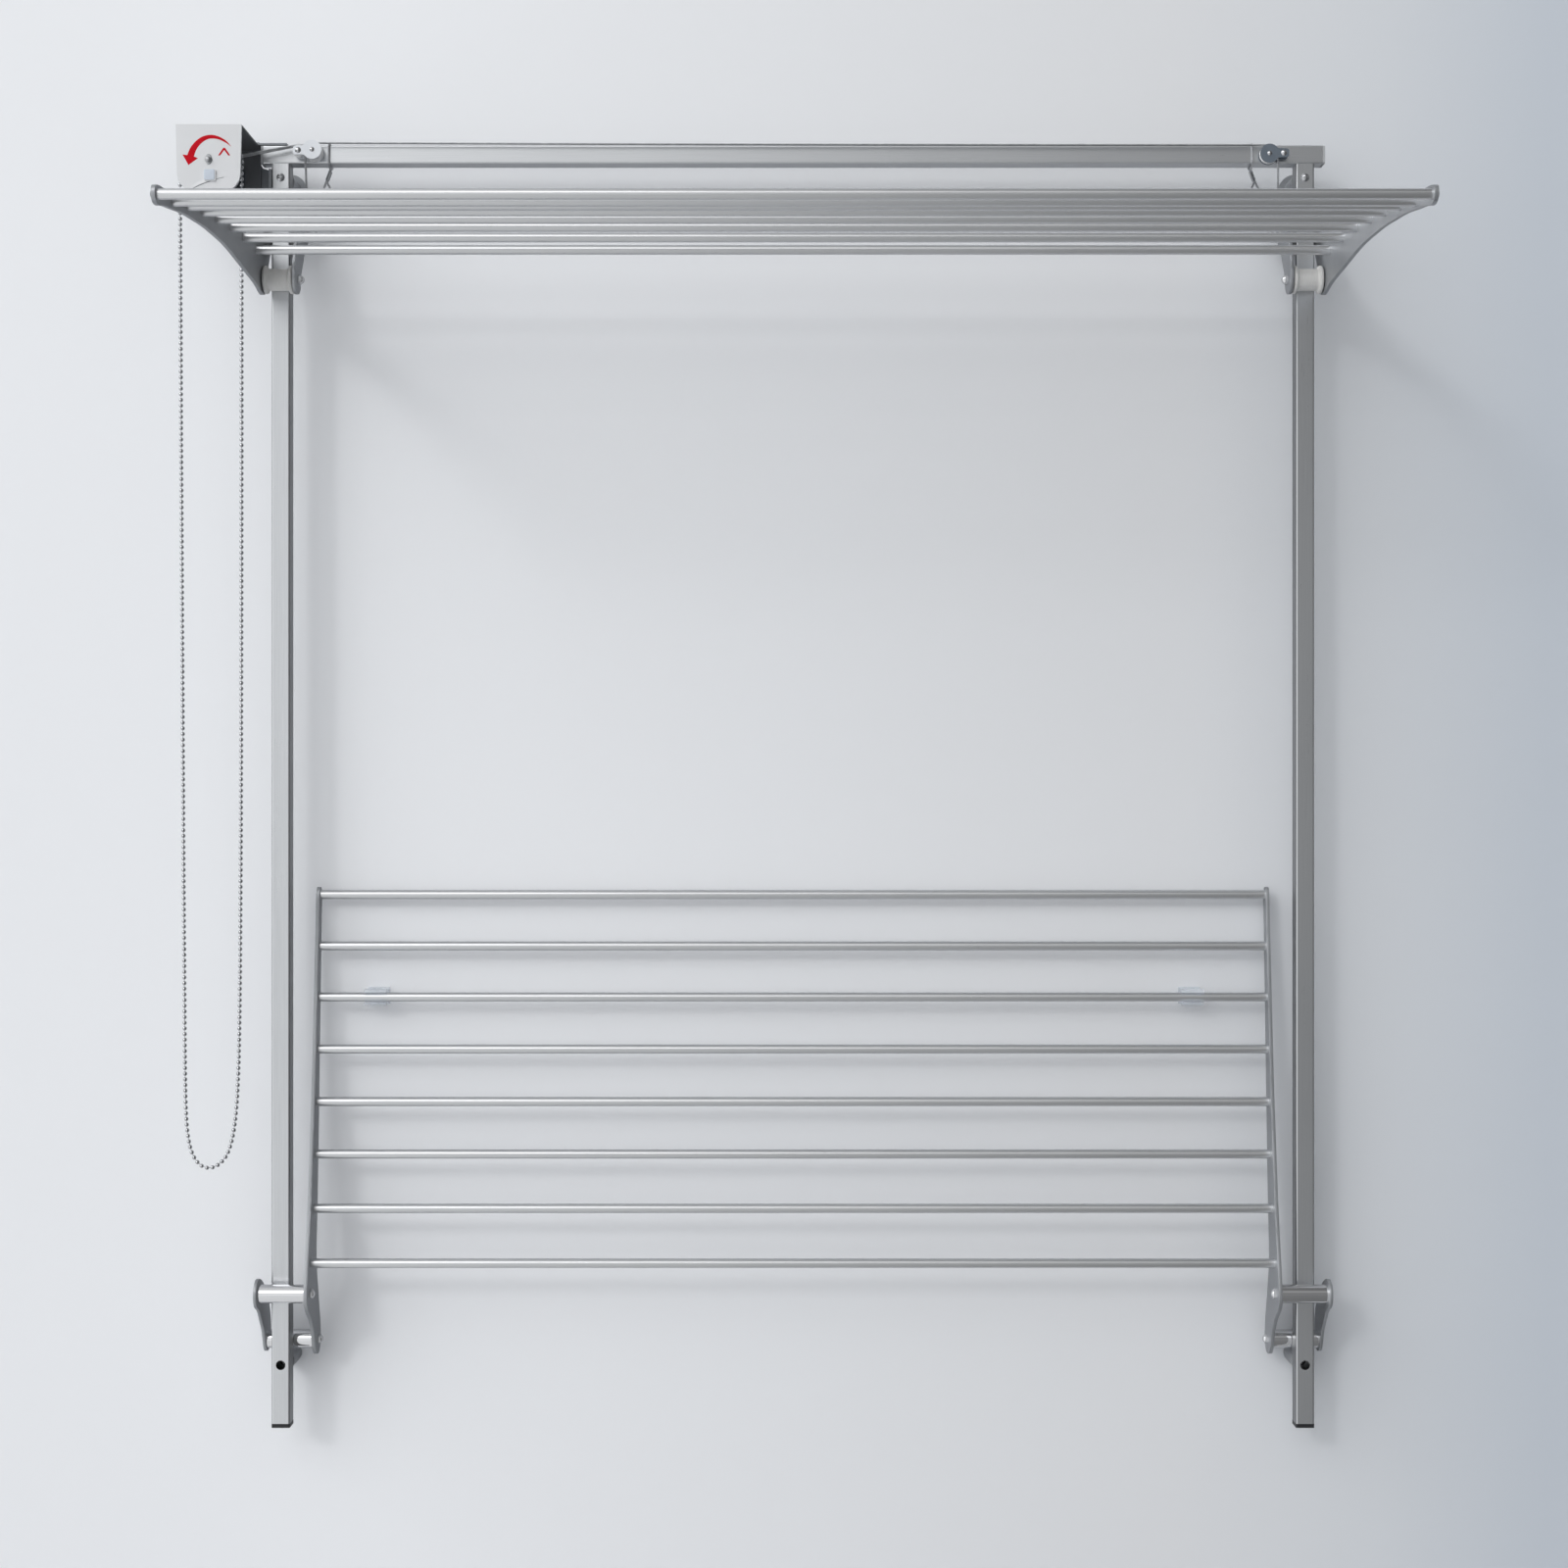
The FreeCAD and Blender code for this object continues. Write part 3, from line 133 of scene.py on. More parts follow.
def surface(name, dark, light, rough_lo, rough_hi, metallic=0.0, tone=(9, 9, 9), grain=None, grain_bump=0.0,
            fleck=None, fleck_bump=0.0, coat=0.0, coat_rough=0.1, ior=None, trans=0.0, sss=0.0, spec=None, alpha=None):
    """Principled material whose colour, roughness and bump come from object-space noise.
    tone: scale of the slow colour drift; grain: stretched fine lines; fleck: fine even speckle."""
    m = bpy.data.materials.new(name)
    m.use_nodes = True
    nt = m.node_tree
    bs = nt.nodes["Principled BSDF"]
    slow = noise(nt, tone, 3.0, 0.6)
    base = ramp(nt, slow, [(0.32, dark), (0.68, light)], "LINEAR")
    rr = noise(nt, tuple(2.3 * t for t in tone), 4.0, 0.6)
    rough = ramp(nt, rr, [(0.3, rough_lo), (0.7, rough_hi)], "LINEAR")
    normal = None
    if grain is not None:
        g = noise(nt, grain, 4.0, 0.7)
        base = mixc(nt, 0.5, base, ramp(nt, g, [(0.3, tuple(0.86 * c for c in dark)), (0.7, light)], "LINEAR"))
        rough = mixc(nt, 0.5, rough, ramp(nt, g, [(0.3, rough_hi * 1.12), (0.7, rough_lo * 0.9)], "LINEAR"))
        normal = bump(nt, g, grain_bump, 0.0004)
    if fleck is not None:
        f = noise(nt, fleck, 2.0, 0.5)
        rough = mixc(nt, 0.35, rough, ramp(nt, f, [(0.3, rough_lo), (0.7, rough_hi)], "LINEAR"))
        normal = bump(nt, f, fleck_bump, 0.0004, normal)
    nt.links.new(base, bs.inputs["Base Color"])
    nt.links.new(rough, bs.inputs["Roughness"])
    if normal is not None:
        nt.links.new(normal, bs.inputs["Normal"])
    bs.inputs["Metallic"].default_value = metallic
    if coat:
        bs.inputs["Coat Weight"].default_value = coat
        bs.inputs["Coat Roughness"].default_value = coat_rough
    if ior is not None:
        bs.inputs["IOR"].default_value = ior
    if trans:
        bs.inputs["Transmission Weight"].default_value = trans
    if sss:
        bs.inputs["Subsurface Weight"].default_value = sss
        bs.inputs["Subsurface Radius"].default_value = (0.004, 0.004, 0.004)
        bs.inputs["Subsurface Scale"].default_value = 1.0
    if alpha is not None:
        bs.inputs["Alpha"].default_value = alpha
    if spec is not None:
        bs.inputs["Specular IOR Level"].default_value = spec
    return m


MAT = {
    "post_z": surface("anodised_upright", (0.76, 0.775, 0.795), (0.82, 0.835, 0.85), 0.27, 0.34, 1.0, (6, 6, 2.5),
                      grain=(1500, 1500, 14), grain_bump=0.035),
    "post_x": surface("anodised_crossbar", (0.76, 0.775, 0.795), (0.82, 0.835, 0.85), 0.27, 0.34, 1.0, (2.5, 6, 6),
                      grain=(14, 1500, 1500), grain_bump=0.035),
    "rod": surface("polished_rod", (0.82, 0.83, 0.845), (0.88, 0.885, 0.895), 0.26, 0.33, 1.0, (4, 40, 40),
                   grain=(10, 2200, 2200), grain_bump=0.02),
    "tube": surface("chrome_tube", (0.86, 0.865, 0.88), (0.92, 0.92, 0.93), 0.04, 0.09, 1.0, (20, 20, 20),
                    grain=(30, 1800, 1800), grain_bump=0.01),
    "blade": surface("metallic_coat", (0.38, 0.395, 0.415), (0.45, 0.465, 0.485), 0.36, 0.46, 0.75, (8, 8, 8),
                     fleck=(1400, 1400, 1400), fleck_bump=0.05, coat=0.15, coat_rough=0.3),
    "chrome": surface("bright_plating", (0.82, 0.825, 0.84), (0.90, 0.90, 0.91), 0.14, 0.24, 0.82, (60, 60, 60),
                      fleck=(900, 900, 900), fleck_bump=0.02),
    "zinc": surface("zinc_plating", (0.40, 0.415, 0.43), (0.52, 0.53, 0.545), 0.28, 0.42, 1.0, (90, 90, 90),
                    fleck=(1500, 1500, 1500), fleck_bump=0.05),
    "steel": surface("bright_steel", (0.58, 0.59, 0.605), (0.68, 0.685, 0.70), 0.18, 0.3, 1.0, (40, 40, 40),
                     grain=(40, 40, 2000), grain_bump=0.02),
    "cable": surface("galvanised_wire", (0.50, 0.51, 0.53), (0.66, 0.67, 0.685), 0.28, 0.42, 1.0, (120, 120, 120),
                     fleck=(2500, 2500, 2500), fleck_bump=0.05),
    "spring": surface("oiled_spring", (0.20, 0.205, 0.215), (0.30, 0.305, 0.315), 0.25, 0.38, 1.0, (80, 80, 80),
                      fleck=(1500, 1500, 1500), fleck_bump=0.05),
    "bead": surface("nickel_bead", (0.58, 0.59, 0.61), (0.68, 0.685, 0.70), 0.12, 0.2, 1.0, (50, 50, 50),
                    fleck=(1200, 1200, 1200), fleck_bump=0.03),
    "cover": surface("powder_coat_light", (0.69, 0.70, 0.715), (0.73, 0.74, 0.755), 0.42, 0.52, 0.0, (14, 14, 14),
                     fleck=(1300, 1300, 1300), fleck_bump=0.09, coat=0.08, coat_rough=0.35),
    "bracket": surface("powder_coat_grey", (0.23, 0.245, 0.265), (0.29, 0.305, 0.325), 0.42, 0.55, 0.35, (14, 14, 14),
                       fleck=(1300, 1300, 1300), fleck_bump=0.09),
    "wheel": surface("winch_wheel_nylon", (0.055, 0.063, 0.074), (0.085, 0.095, 0.108), 0.35, 0.5, 0.0, (30, 30, 30),
                     fleck=(1000, 1000, 1000), fleck_bump=0.06),
    # the two pulley cheeks are lit and shaded copies of one finish: painted light on the white left copy, painted shade
    # on the blue-grey right copy
    "cheek": surface("cheek_painted_light_white", (0.76, 0.79, 0.83), (0.82, 0.845, 0.88), 0.3, 0.4, 0.0, (30, 30, 30),
                     fleck=(1500, 1500, 1500), fleck_bump=0.02, coat=0.2, coat_rough=0.2),
    "cheek_shade_copy": surface("cheek_painted_shade_blue_grey", (0.13, 0.16, 0.195), (0.165, 0.195, 0.23), 0.32, 0.42, 0.3, (30, 30, 30),
                          fleck=(1500, 1500, 1500), fleck_bump=0.02, coat=0.15, coat_rough=0.25),
    "button": surface("latch_plastic", (0.55, 0.61, 0.69), (0.60, 0.66, 0.74), 0.25, 0.38, 0.0, (40, 40, 40),
                      fleck=(1500, 1500, 1500), fleck_bump=0.04),
    "rod_cap": surface("satin_end_cap", (0.52, 0.525, 0.54), (0.60, 0.605, 0.62), 0.2, 0.3, 0.9, (60, 60, 60),
                       fleck=(1500, 1500, 1500), fleck_bump=0.04),
    "sheave": surface("acetal_white", (0.70, 0.71, 0.72), (0.78, 0.785, 0.79), 0.25, 0.35, 0.0, (40, 40, 40),
                      grain=(200, 900, 200), grain_bump=0.03, sss=0.06),
    "roller": surface("roller_acetal", (0.66, 0.655, 0.635), (0.72, 0.715, 0.695), 0.28, 0.38, 0.0, (25, 25, 25),
                      grain=(900, 120, 120), grain_bump=0.05, sss=0.08),
    "grey_plastic": surface("grey_cap_plastic", (0.36, 0.37, 0.385), (0.42, 0.43, 0.445), 0.35, 0.48, 0.0, (25, 25, 25),
                            fleck=(1600, 1600, 1600), fleck_bump=0.08),
    "black_plastic": surface("black_cap_plastic", (0.012, 0.013, 0.015), (0.022, 0.023, 0.026), 0.3, 0.45, 0.0, (25, 25, 25),
                             fleck=(1600, 1600, 1600), fleck_bump=0.08),
    "clip": surface("frosted_clip", (0.80, 0.86, 0.94), (0.88, 0.92, 0.97), 0.12, 0.2, 0.0, (60, 60, 60),
                    fleck=(1500, 1500, 1500), fleck_bump=0.03, alpha=0.35),
    "standoff": surface("standoff_alu", (0.55, 0.565, 0.585), (0.63, 0.645, 0.66), 0.3, 0.42, 1.0, (20, 20, 20),
                        grain=(700, 60, 700), grain_bump=0.05),
    "red": surface("red_ink", (0.50, 0.002, 0.010), (0.58, 0.004, 0.016), 0.55, 0.65, 0.0, (60, 60, 60),
                   fleck=(1800, 1800, 1800), fleck_bump=0.06, spec=0.1),
}



def paint_side_shade(mat, axis, amount):
    """Painted shade: extruded faces square to axis get a darker base colour."""
    nt = mat.node_tree
    bs = nt.nodes["Principled BSDF"]
    src = bs.inputs["Base Color"].links[0].from_socket
    geo = nt.nodes.new("ShaderNodeNewGeometry")
    sp = nt.nodes.new("ShaderNodeSeparateXYZ")
    nt.links.new(geo.outputs["Normal"], sp.inputs[0])
    f = math_node(nt, "ABSOLUTE", sp.outputs[axis])
    painted_side_shade = ramp(nt, f, [(0.35, 1.0), (0.8, amount)], "EASE")
    nt.links.new(mixc(nt, 1.0, src, painted_side_shade, "MULTIPLY"), bs.inputs["Base Color"])


# the post sides are painted darker: painted shade
paint_side_shade(MAT["post_z"], "X", 0.5)


def paint_inside_shade(mat, y_front, amount):
    """Painted shade: the inside of the cover, behind its front plate and not facing up, gets a darker base colour."""
    nt = mat.node_tree
    bs = nt.nodes["Principled BSDF"]
    src = bs.inputs["Base Color"].links[0].from_socket
    tc = nt.nodes.new("ShaderNodeTexCoord")
    sp = nt.nodes.new("ShaderNodeSeparateXYZ")
    nt.links.new(tc.outputs["Object"], sp.inputs[0])
    geo = nt.nodes.new("ShaderNodeNewGeometry")
    sn = nt.nodes.new("ShaderNodeSeparateXYZ")
    nt.links.new(geo.outputs["Normal"], sn.inputs[0])
    behind = math_node(nt, "GREATER_THAN", sp.outputs["Y"], y_front)
    under = math_node(nt, "LESS_THAN", sn.outputs["Z"], 0.5)
    inside_shade_mask = math_node(nt, "MULTIPLY", behind, under)
    dark = mixc(nt, 1.0, src, (amount, amount * 1.04, amount * 1.1), "MULTIPLY")
    nt.links.new(mixc(nt, inside_shade_mask, src, dark), bs.inputs["Base Color"])


# painted shade inside the winch cover
paint_inside_shade(MAT["cover"], -0.1358, 0.16)

LOOK = {
    "left_post": "post_z", "right_post": "post_z", "top_beam": "post_x",
    "beam_end_caps": "grey_plastic", "post_end_caps": "black_plastic", "corner_plugs": "grey_plastic",
    "corner_screws": "zinc", "wall_standoffs": "standoff", "wall_screws": "steel",
    "wall_clips": "clip", "wall_clip_screws": "zinc",
    "winch_housing": "cover", "winch_bracket": "bracket", "winch_tie_plate": "bracket", "winch_screws": "zinc",
    "winch_axle": "chrome", "chain_wheel": "wheel", "cable_drum": "wheel", "wound_cable": "cable",
    "brake_spring": "spring", "bead_chain": "bead", "bead_chain_on_wheel": "bead",
    # left cheeks take the painted-light copy, right cheeks the painted-shade copy
    "left_pulley_cheeks": "cheek", "right_pulley_cheeks": "cheek_shade_copy",
    "left_pulley_pins": "steel", "right_pulley_pins": "steel",
    "left_sheave": "sheave", "left_guide_roller": "sheave", "right_sheave": "sheave",
    "cable_winch_run": "cable", "cable_cross_run": "cable", "beam_cable_loops": "cable",
    "cable_drops_left": "cable", "cable_drops_right": "cable", "cable_guides": "sheave",
    "rear_axle_bolts": "steel", "front_axle_bolts": "steel",
    "rear_acorn_nuts": "chrome", "front_acorn_nuts": "chrome",
    "rear_roller_left": "roller", "rear_roller_right": "roller",
    "front_roller_left": "roller", "front_roller_right": "roller",
    "upper_blade_left": "blade", "upper_blade_right": "blade", "upper_brackets": "blade",
    "upper_rods": "rod", "upper_rod_screws": "chrome", "upper_rod_caps": "rod_cap",
    "lower_blade_left": "blade", "lower_blade_right": "blade", "lower_brackets": "blade",
    "lower_rods": "rod", "lower_rod_screws": "chrome",
    "lower_rear_tubes": "tube", "lower_front_tubes": "tube",
    "lower_bolts": "chrome", "lower_acorn_nuts": "chrome",
}
for node_name, look in LOOK.items():
    o = NODES[node_name]
    if not o.data.materials:
        o.data.materials.append(MAT[look])
    for i in range(len(o.data.materials)):
        o.data.materials[i] = MAT[look]


# ------------------------------------------------------------------ mesh helpers
def make(name, verts, faces, look, body, smooth=True, sharp=40.0, replaces=()):
    me = bpy.data.meshes.new(name)
    me.from_pydata([tuple(v) for v in verts], [], [tuple(int(i) for i in f) for f in faces])
    me.validate()
    if smooth:
        me.polygons.foreach_set("use_smooth", [True] * len(me.polygons))
        me.set_sharp_from_angle(angle=math.radians(sharp))
    me.materials.append(MAT[look])
    ob = bpy.data.objects.new(name, me)
    SC.collection.objects.link(ob)
    if body is not None:
        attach(ob, body)
    if replaces:
        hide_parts(*replaces)
    return ob


def merged(parts):
    """One (verts, faces) from several."""
    V, F, n = [], [], 0
    for v, f in parts:
        v = np.asarray(v, float)
        V.append(v)
        F += [tuple(i + n for i in face) for face in f]
        n += len(v)
    return np.vstack(V), F


def nurbs_line(points, per=12):
    """Points read from the NURBS spline through these control points."""
    cu = bpy.data.curves.new("route", "CURVE")
    cu.dimensions = "3D"
    cu.resolution_u = per
    sp = cu.splines.new("NURBS")
    sp.points.add(len(points) - 1)
    for p, c in zip(sp.points, points):
        p.co = (*c, 1.0)
    sp.order_u = 3
    sp.use_endpoint_u = True
    sp.resolution_u = per
    ob = bpy.data.objects.new("route", cu)
    me = bpy.data.meshes.new_from_object(ob)
    line = np.array([v.co for v in me.vertices], float).reshape(-1, 3)
    bpy.data.objects.remove(ob)
    bpy.data.meshes.remove(me)
    bpy.data.curves.remove(cu)
    return line


def along(line):
    d = np.linalg.norm(np.diff(line, axis=0), axis=1)
    return np.concatenate([[0.0], np.cumsum(d)])


def at(line, s, marks):
    return np.stack([np.interp(marks, s, line[:, k]) for k in range(3)], axis=1)


def carried_frames(pts):
    """Tangents and a normal carried along the line without twist."""
    t = np.gradient(pts, axis=0)
    t /= np.linalg.norm(t, axis=1)[:, None]
    n = np.cross(t[0], (0, 1, 0))
    if np.linalg.norm(n) < 1e-3:
        n = np.cross(t[0], (1, 0, 0))
    n /= np.linalg.norm(n)
    out = [n]
    for i in range(1, len(pts)):
        n = out[-1] - t[i] * np.dot(out[-1], t[i])
        out.append(n / np.linalg.norm(n))
    n = np.array(out)
    return t, n, np.cross(t, n)


def rope(line, rad, lay=0.016, step=0.0013, lobes=6, per=4, phase=0.0, caps=True):
    """A wire rope: lobed section that turns as it goes along the line."""
    line = np.asarray(line, float)
    s = along(line)
    marks = np.linspace(0, s[-1], max(3, int(round(s[-1] / step)) + 1))
    pts = at(line, s, marks)
    t, n, b = carried_frames(pts)
    k = lobes * per
    th = 2 * math.pi * np.arange(k) / k
    phi = ((th * lobes / (2 * math.pi)) % 1.0 - 0.5) * (2 * math.pi / lobes)
    d, rs = 2 * rad / 3, rad / 3
    prof = d * np.cos(phi) + np.sqrt(np.maximum(rs ** 2 - (d * np.sin(phi)) ** 2, 0))
    tw = 2 * math.pi * marks / lay + phase
    ang = th[None, :] + tw[:, None]
    V = (pts[:, None, :] + prof[None, :, None] * (np.cos(ang)[..., None] * n[:, None, :] + np.sin(ang)[..., None] * b[:, None, :]))
    V = V.reshape(-1, 3)
    F = []
    m = len(pts)
    for i in range(m - 1):
        a, c = i * k, (i + 1) * k
        for j in range(k):
            j2 = (j + 1) % k
            F.append((a + j, a + j2, c + j2, c + j))
    if caps:
        F.append(tuple(range(k))[::-1])
        F.append(tuple((m - 1) * k + j for j in range(k)))
    return V, F


def tube(line, rad, seg=16, step=None, caps=True):
    line = np.asarray(line, float)
    if step:
        s = along(line)
        line = at(line, s, np.linspace(0, s[-1], max(3, int(round(s[-1] / step)) + 1)))
    t, n, b = carried_frames(line)
    th = 2 * math.pi * np.arange(seg) / seg
    V = (line[:, None, :] + rad * (np.cos(th)[None, :, None] * n[:, None, :] + np.sin(th)[None, :, None] * b[:, None, :])).reshape(-1, 3)
    F = []
    for i in range(len(line) - 1):
        for j in range(seg):
            j2 = (j + 1) % seg
            F.append((i * seg + j, i * seg + j2, (i + 1) * seg + j2, (i + 1) * seg + j))
    if caps:
        F.append(tuple(range(seg))[::-1])
        F.append(tuple((len(line) - 1) * seg + j for j in range(seg)))
    return V, F


def lathe(profile, centre, axis, seg=32, up=None):
    """Turned solid: profile is (distance along axis, radius) pairs, closed at radius 0 ends."""
    a = Vector(axis).normalized()
    u = Vector(up) if up is not None else (Vector((0, 0, 1)) if abs(a.z) < 0.9 else Vector((1, 0, 0)))
    u = (u - a * u.dot(a)).normalized()
    w = a.cross(u)
    c = Vector(centre)
    V, F, rings = [], [], []
    for h, r in profile:
        if r < 1e-9:
            rings.append([len(V)])
            V.append(c + a * h)
        else:
            ring = []
            for j in range(seg):
                q = 2 * math.pi * j / seg
                ring.append(len(V))
                V.append(c + a * h + (u * math.cos(q) + w * math.sin(q)) * r)
            rings.append(ring)
    for r0, r1 in zip(rings, rings[1:]):
        if len(r0) == 1 and len(r1) == 1:
            continue
        for j in range(seg):
            j2 = (j + 1) % seg
            if len(r0) == 1:
                F.append((r0[0], r1[j2], r1[j]))
            elif len(r1) == 1:
                F.append((r0[j], r0[j2], r1[0]))
            else:
                F.append((r0[j], r0[j2], r1[j2], r1[j]))
    return np.array([tuple(v) for v in V]), F


# ------------------------------------------------------------------ the hanging bead chain
CHAIN = [(-650.4, 645.9), (-650.3, 586.0), (-650.1, 526.0), (-649.7, 466.0), (-649.4, 406.0), (-649.2, 346.0),
         (-648.8, 286.0), (-648.5, 226.0), (-648.2, 166.0), (-647.8, 106.0), (-647.5, 46.0), (-647.1, -14.0),
         (-646.8, -74.0), (-646.4, -134.0), (-646.0, -194.0), (-645.6, -254.0), (-645.2, -310.0), (-644.6, -350.0),
         (-643.2, -381.0), (-638.6, -406.0), (-628.0, -420.6), (-613.4, -421.4), (-600.4, -409.0), (-593.6, -386.0),
         (-590.2, -355.0), (-588.2, -314.0), (-587.2, -258.0), (-586.6, -198.0), (-586.2, -138.0), (-585.9, -78.0),
         (-585.7, -18.0), (-585.5, 42.0), (-585.4, 102.0), (-585.3, 162.0), (-585.2, 222.0), (-585.2, 282.0),
         (-585.1, 342.0), (-585.1, 402.0), (-585.1, 462.0), (-585.1, 522.0), (-585.1, 584.0), (-585.1, 645.9)]
CHAIN_Y = -129.0
chain_line = nurbs_line([(x * MM, CHAIN_Y * MM, z * MM) for x, z in CHAIN], per=16)
PITCH, BEAD = 6.0 * MM, 2.25 * MM
NECK = math.asin(0.24)         # half angle of the hole where the link goes in


def bead_string(pts, tangents, link_ends=True, seg=12):
    """Hollow beads with a small rolled hole at each pole, and the waisted links between them."""
    profile = []
    for i in range(9):
        q = NECK + (math.pi - 2 * NECK) * i / 8
        profile.append((-BEAD * math.cos(q), BEAD * math.sin(q)))
    h0, r0 = profile[0]
    profile = [(h0 + 0.3 * MM, r0 * 0.72), (h0 - 0.02 * MM, r0 * 0.82)] + profile + [(-h0 + 0.02 * MM, r0 * 0.82), (-h0 - 0.3 * MM, r0 * 0.72)]
    unit, faces = lathe(profile, (0, 0, 0), (0, 0, 1), seg)
    parts = []
    for p, t in zip(pts, tangents):
        q = Vector((0, 0, 1)).rotation_difference(Vector(t))
        r = np.array(q.to_matrix())
        parts.append((unit @ r.T + np.array(p), faces))
    link_unit, link_faces = lathe([(-0.5, 0.0), (-0.5, 0.62 * MM), (-0.34, 0.42 * MM), (0.34, 0.42 * MM), (0.5, 0.62 * MM), (0.5, 0.0)], (0, 0, 0), (0, 0, 1), 6)
    for a, b in zip(pts[:-1], pts[1:]):
        dv = np.array(b) - np.array(a)
        ln = np.linalg.norm(dv) - 2 * BEAD + 1.3 * MM
        q = np.array(Vector((0, 0, 1)).rotation_difference(Vector(dv)).to_matrix())
        lu = link_unit * np.array([1, 1, ln])
        parts.append((lu @ q.T + (np.array(a) + np.array(b)) / 2, link_faces))
    return merged(parts)


s_chain = along(chain_line)
n_bead = int(round(s_chain[-1] / PITCH))
marks = np.linspace(0, s_chain[-1], n_bead + 1)
bead_pts = at(chain_line, s_chain, marks)
tan = np.gradient(bead_pts, axis=0)
tan /= np.linalg.norm(tan, axis=1)[:, None]
V, F = bead_string(bead_pts, tan)
chain = make("bead_chain_hanging", V, F, "bead", "frame", sharp=50, replaces=("bead_chain",))

WX, WZ, WR = -617.75 * MM, 645.9 * MM, 32.65 * MM
n_top = int(round(math.pi * WR / PITCH))
over, over_t = [], []
for i in range(0, n_top + 1):
    q = math.pi - math.pi * i / n_top
    over.append((WX + WR * math.cos(q), CHAIN_Y * MM, WZ + WR * math.sin(q)))
    over_t.append((math.sin(q), 0.0, -math.cos(q)))
V, F = bead_string(over[1:-1], over_t[1:-1])
make("bead_chain_wheel_turn", V, F, "bead", "frame", sharp=50, replaces=("bead_chain_on_wheel",))

# ------------------------------------------------------------------ wire cables
CR = 1.2 * MM
DRUM, DRUM_R = (-617.75, 645.9), 16.7
LB, LB_R = (-520.9, 673.4), 10.05
LG, LG_R = (-536.0, 672.6), 6.85
RB, RB_R = (517.6, 671.0), 10.05
AXLE_Y, AXLE_Z = -28.0, 592.2


def tangent_angle(c1, r1, c2, r2):
    dx, dz = c2[0] - c1[0], c2[1] - c1[1]
    return math.atan2(dz, dx) + math.acos((r1 - r2) / math.hypot(dx, dz))


def turn_xz(c, r, y, a0, a1, n=14):
    return [(c[0] + r * math.cos(a), y, c[1] + r * math.sin(a)) for a in np.linspace(a0, a1, n)]


def turn_yz(x, c, r, a0, a1, n=8):
    x0, x1 = x if isinstance(x, tuple) else (x, x)
    return [(xx, c[0] + r * math.cos(a), c[1] + r * math.sin(a))
            for a, xx in zip(np.radians(np.linspace(a0, a1, n)), np.linspace(x0, x1, n))]


def sag(a, b, drop, n=14):
    a, b = np.array(a, float), np.array(b, float)
    out = []
    for t in np.linspace(0, 1, n):
        p = a + (b - a) * t
        p[2] -= 4 * drop * t * (1 - t)
        out.append(tuple(p))
    return out


def noose(sx, loop_x):
    """Up behind the beam, over it, down in front, and back to the crimp under it."""
    grip = (loop_x + sx * 3.7, -45.2, 652.6)
    d = np.array([sx * 27.0, 25.6, -53.2])
    d /= np.linalg.norm(d)
    g0, g1 = tuple(np.array(grip) + d * 4.5), tuple(np.array(grip) - d * 4.0)
    path = [g0, g1, (loop_x + sx * 1.2, -43.6, 659.6)]
    path += turn_yz((loop_x + sx * 0.6, loop_x), (-41.3, 664.0), 2.65, -50, 0)
    path += turn_yz(loop_x, (-41.3, 681.4), 2.65, 0, 90)
    path += turn_yz(loop_x, (-58.7, 681.4), 2.65, 90, 180)
    path += turn_yz(loop_x, (-58.7, 664.0), 2.65, 180, 246)
    side = np.array([-sx * 1.6, -1.9, 0.0])
    path += [tuple(np.array(g1) + side * 1.05), tuple(np.array(grip) + side)]
    return path, grip, d, side


def to_m(path):
    return np.array(path, float) * MM


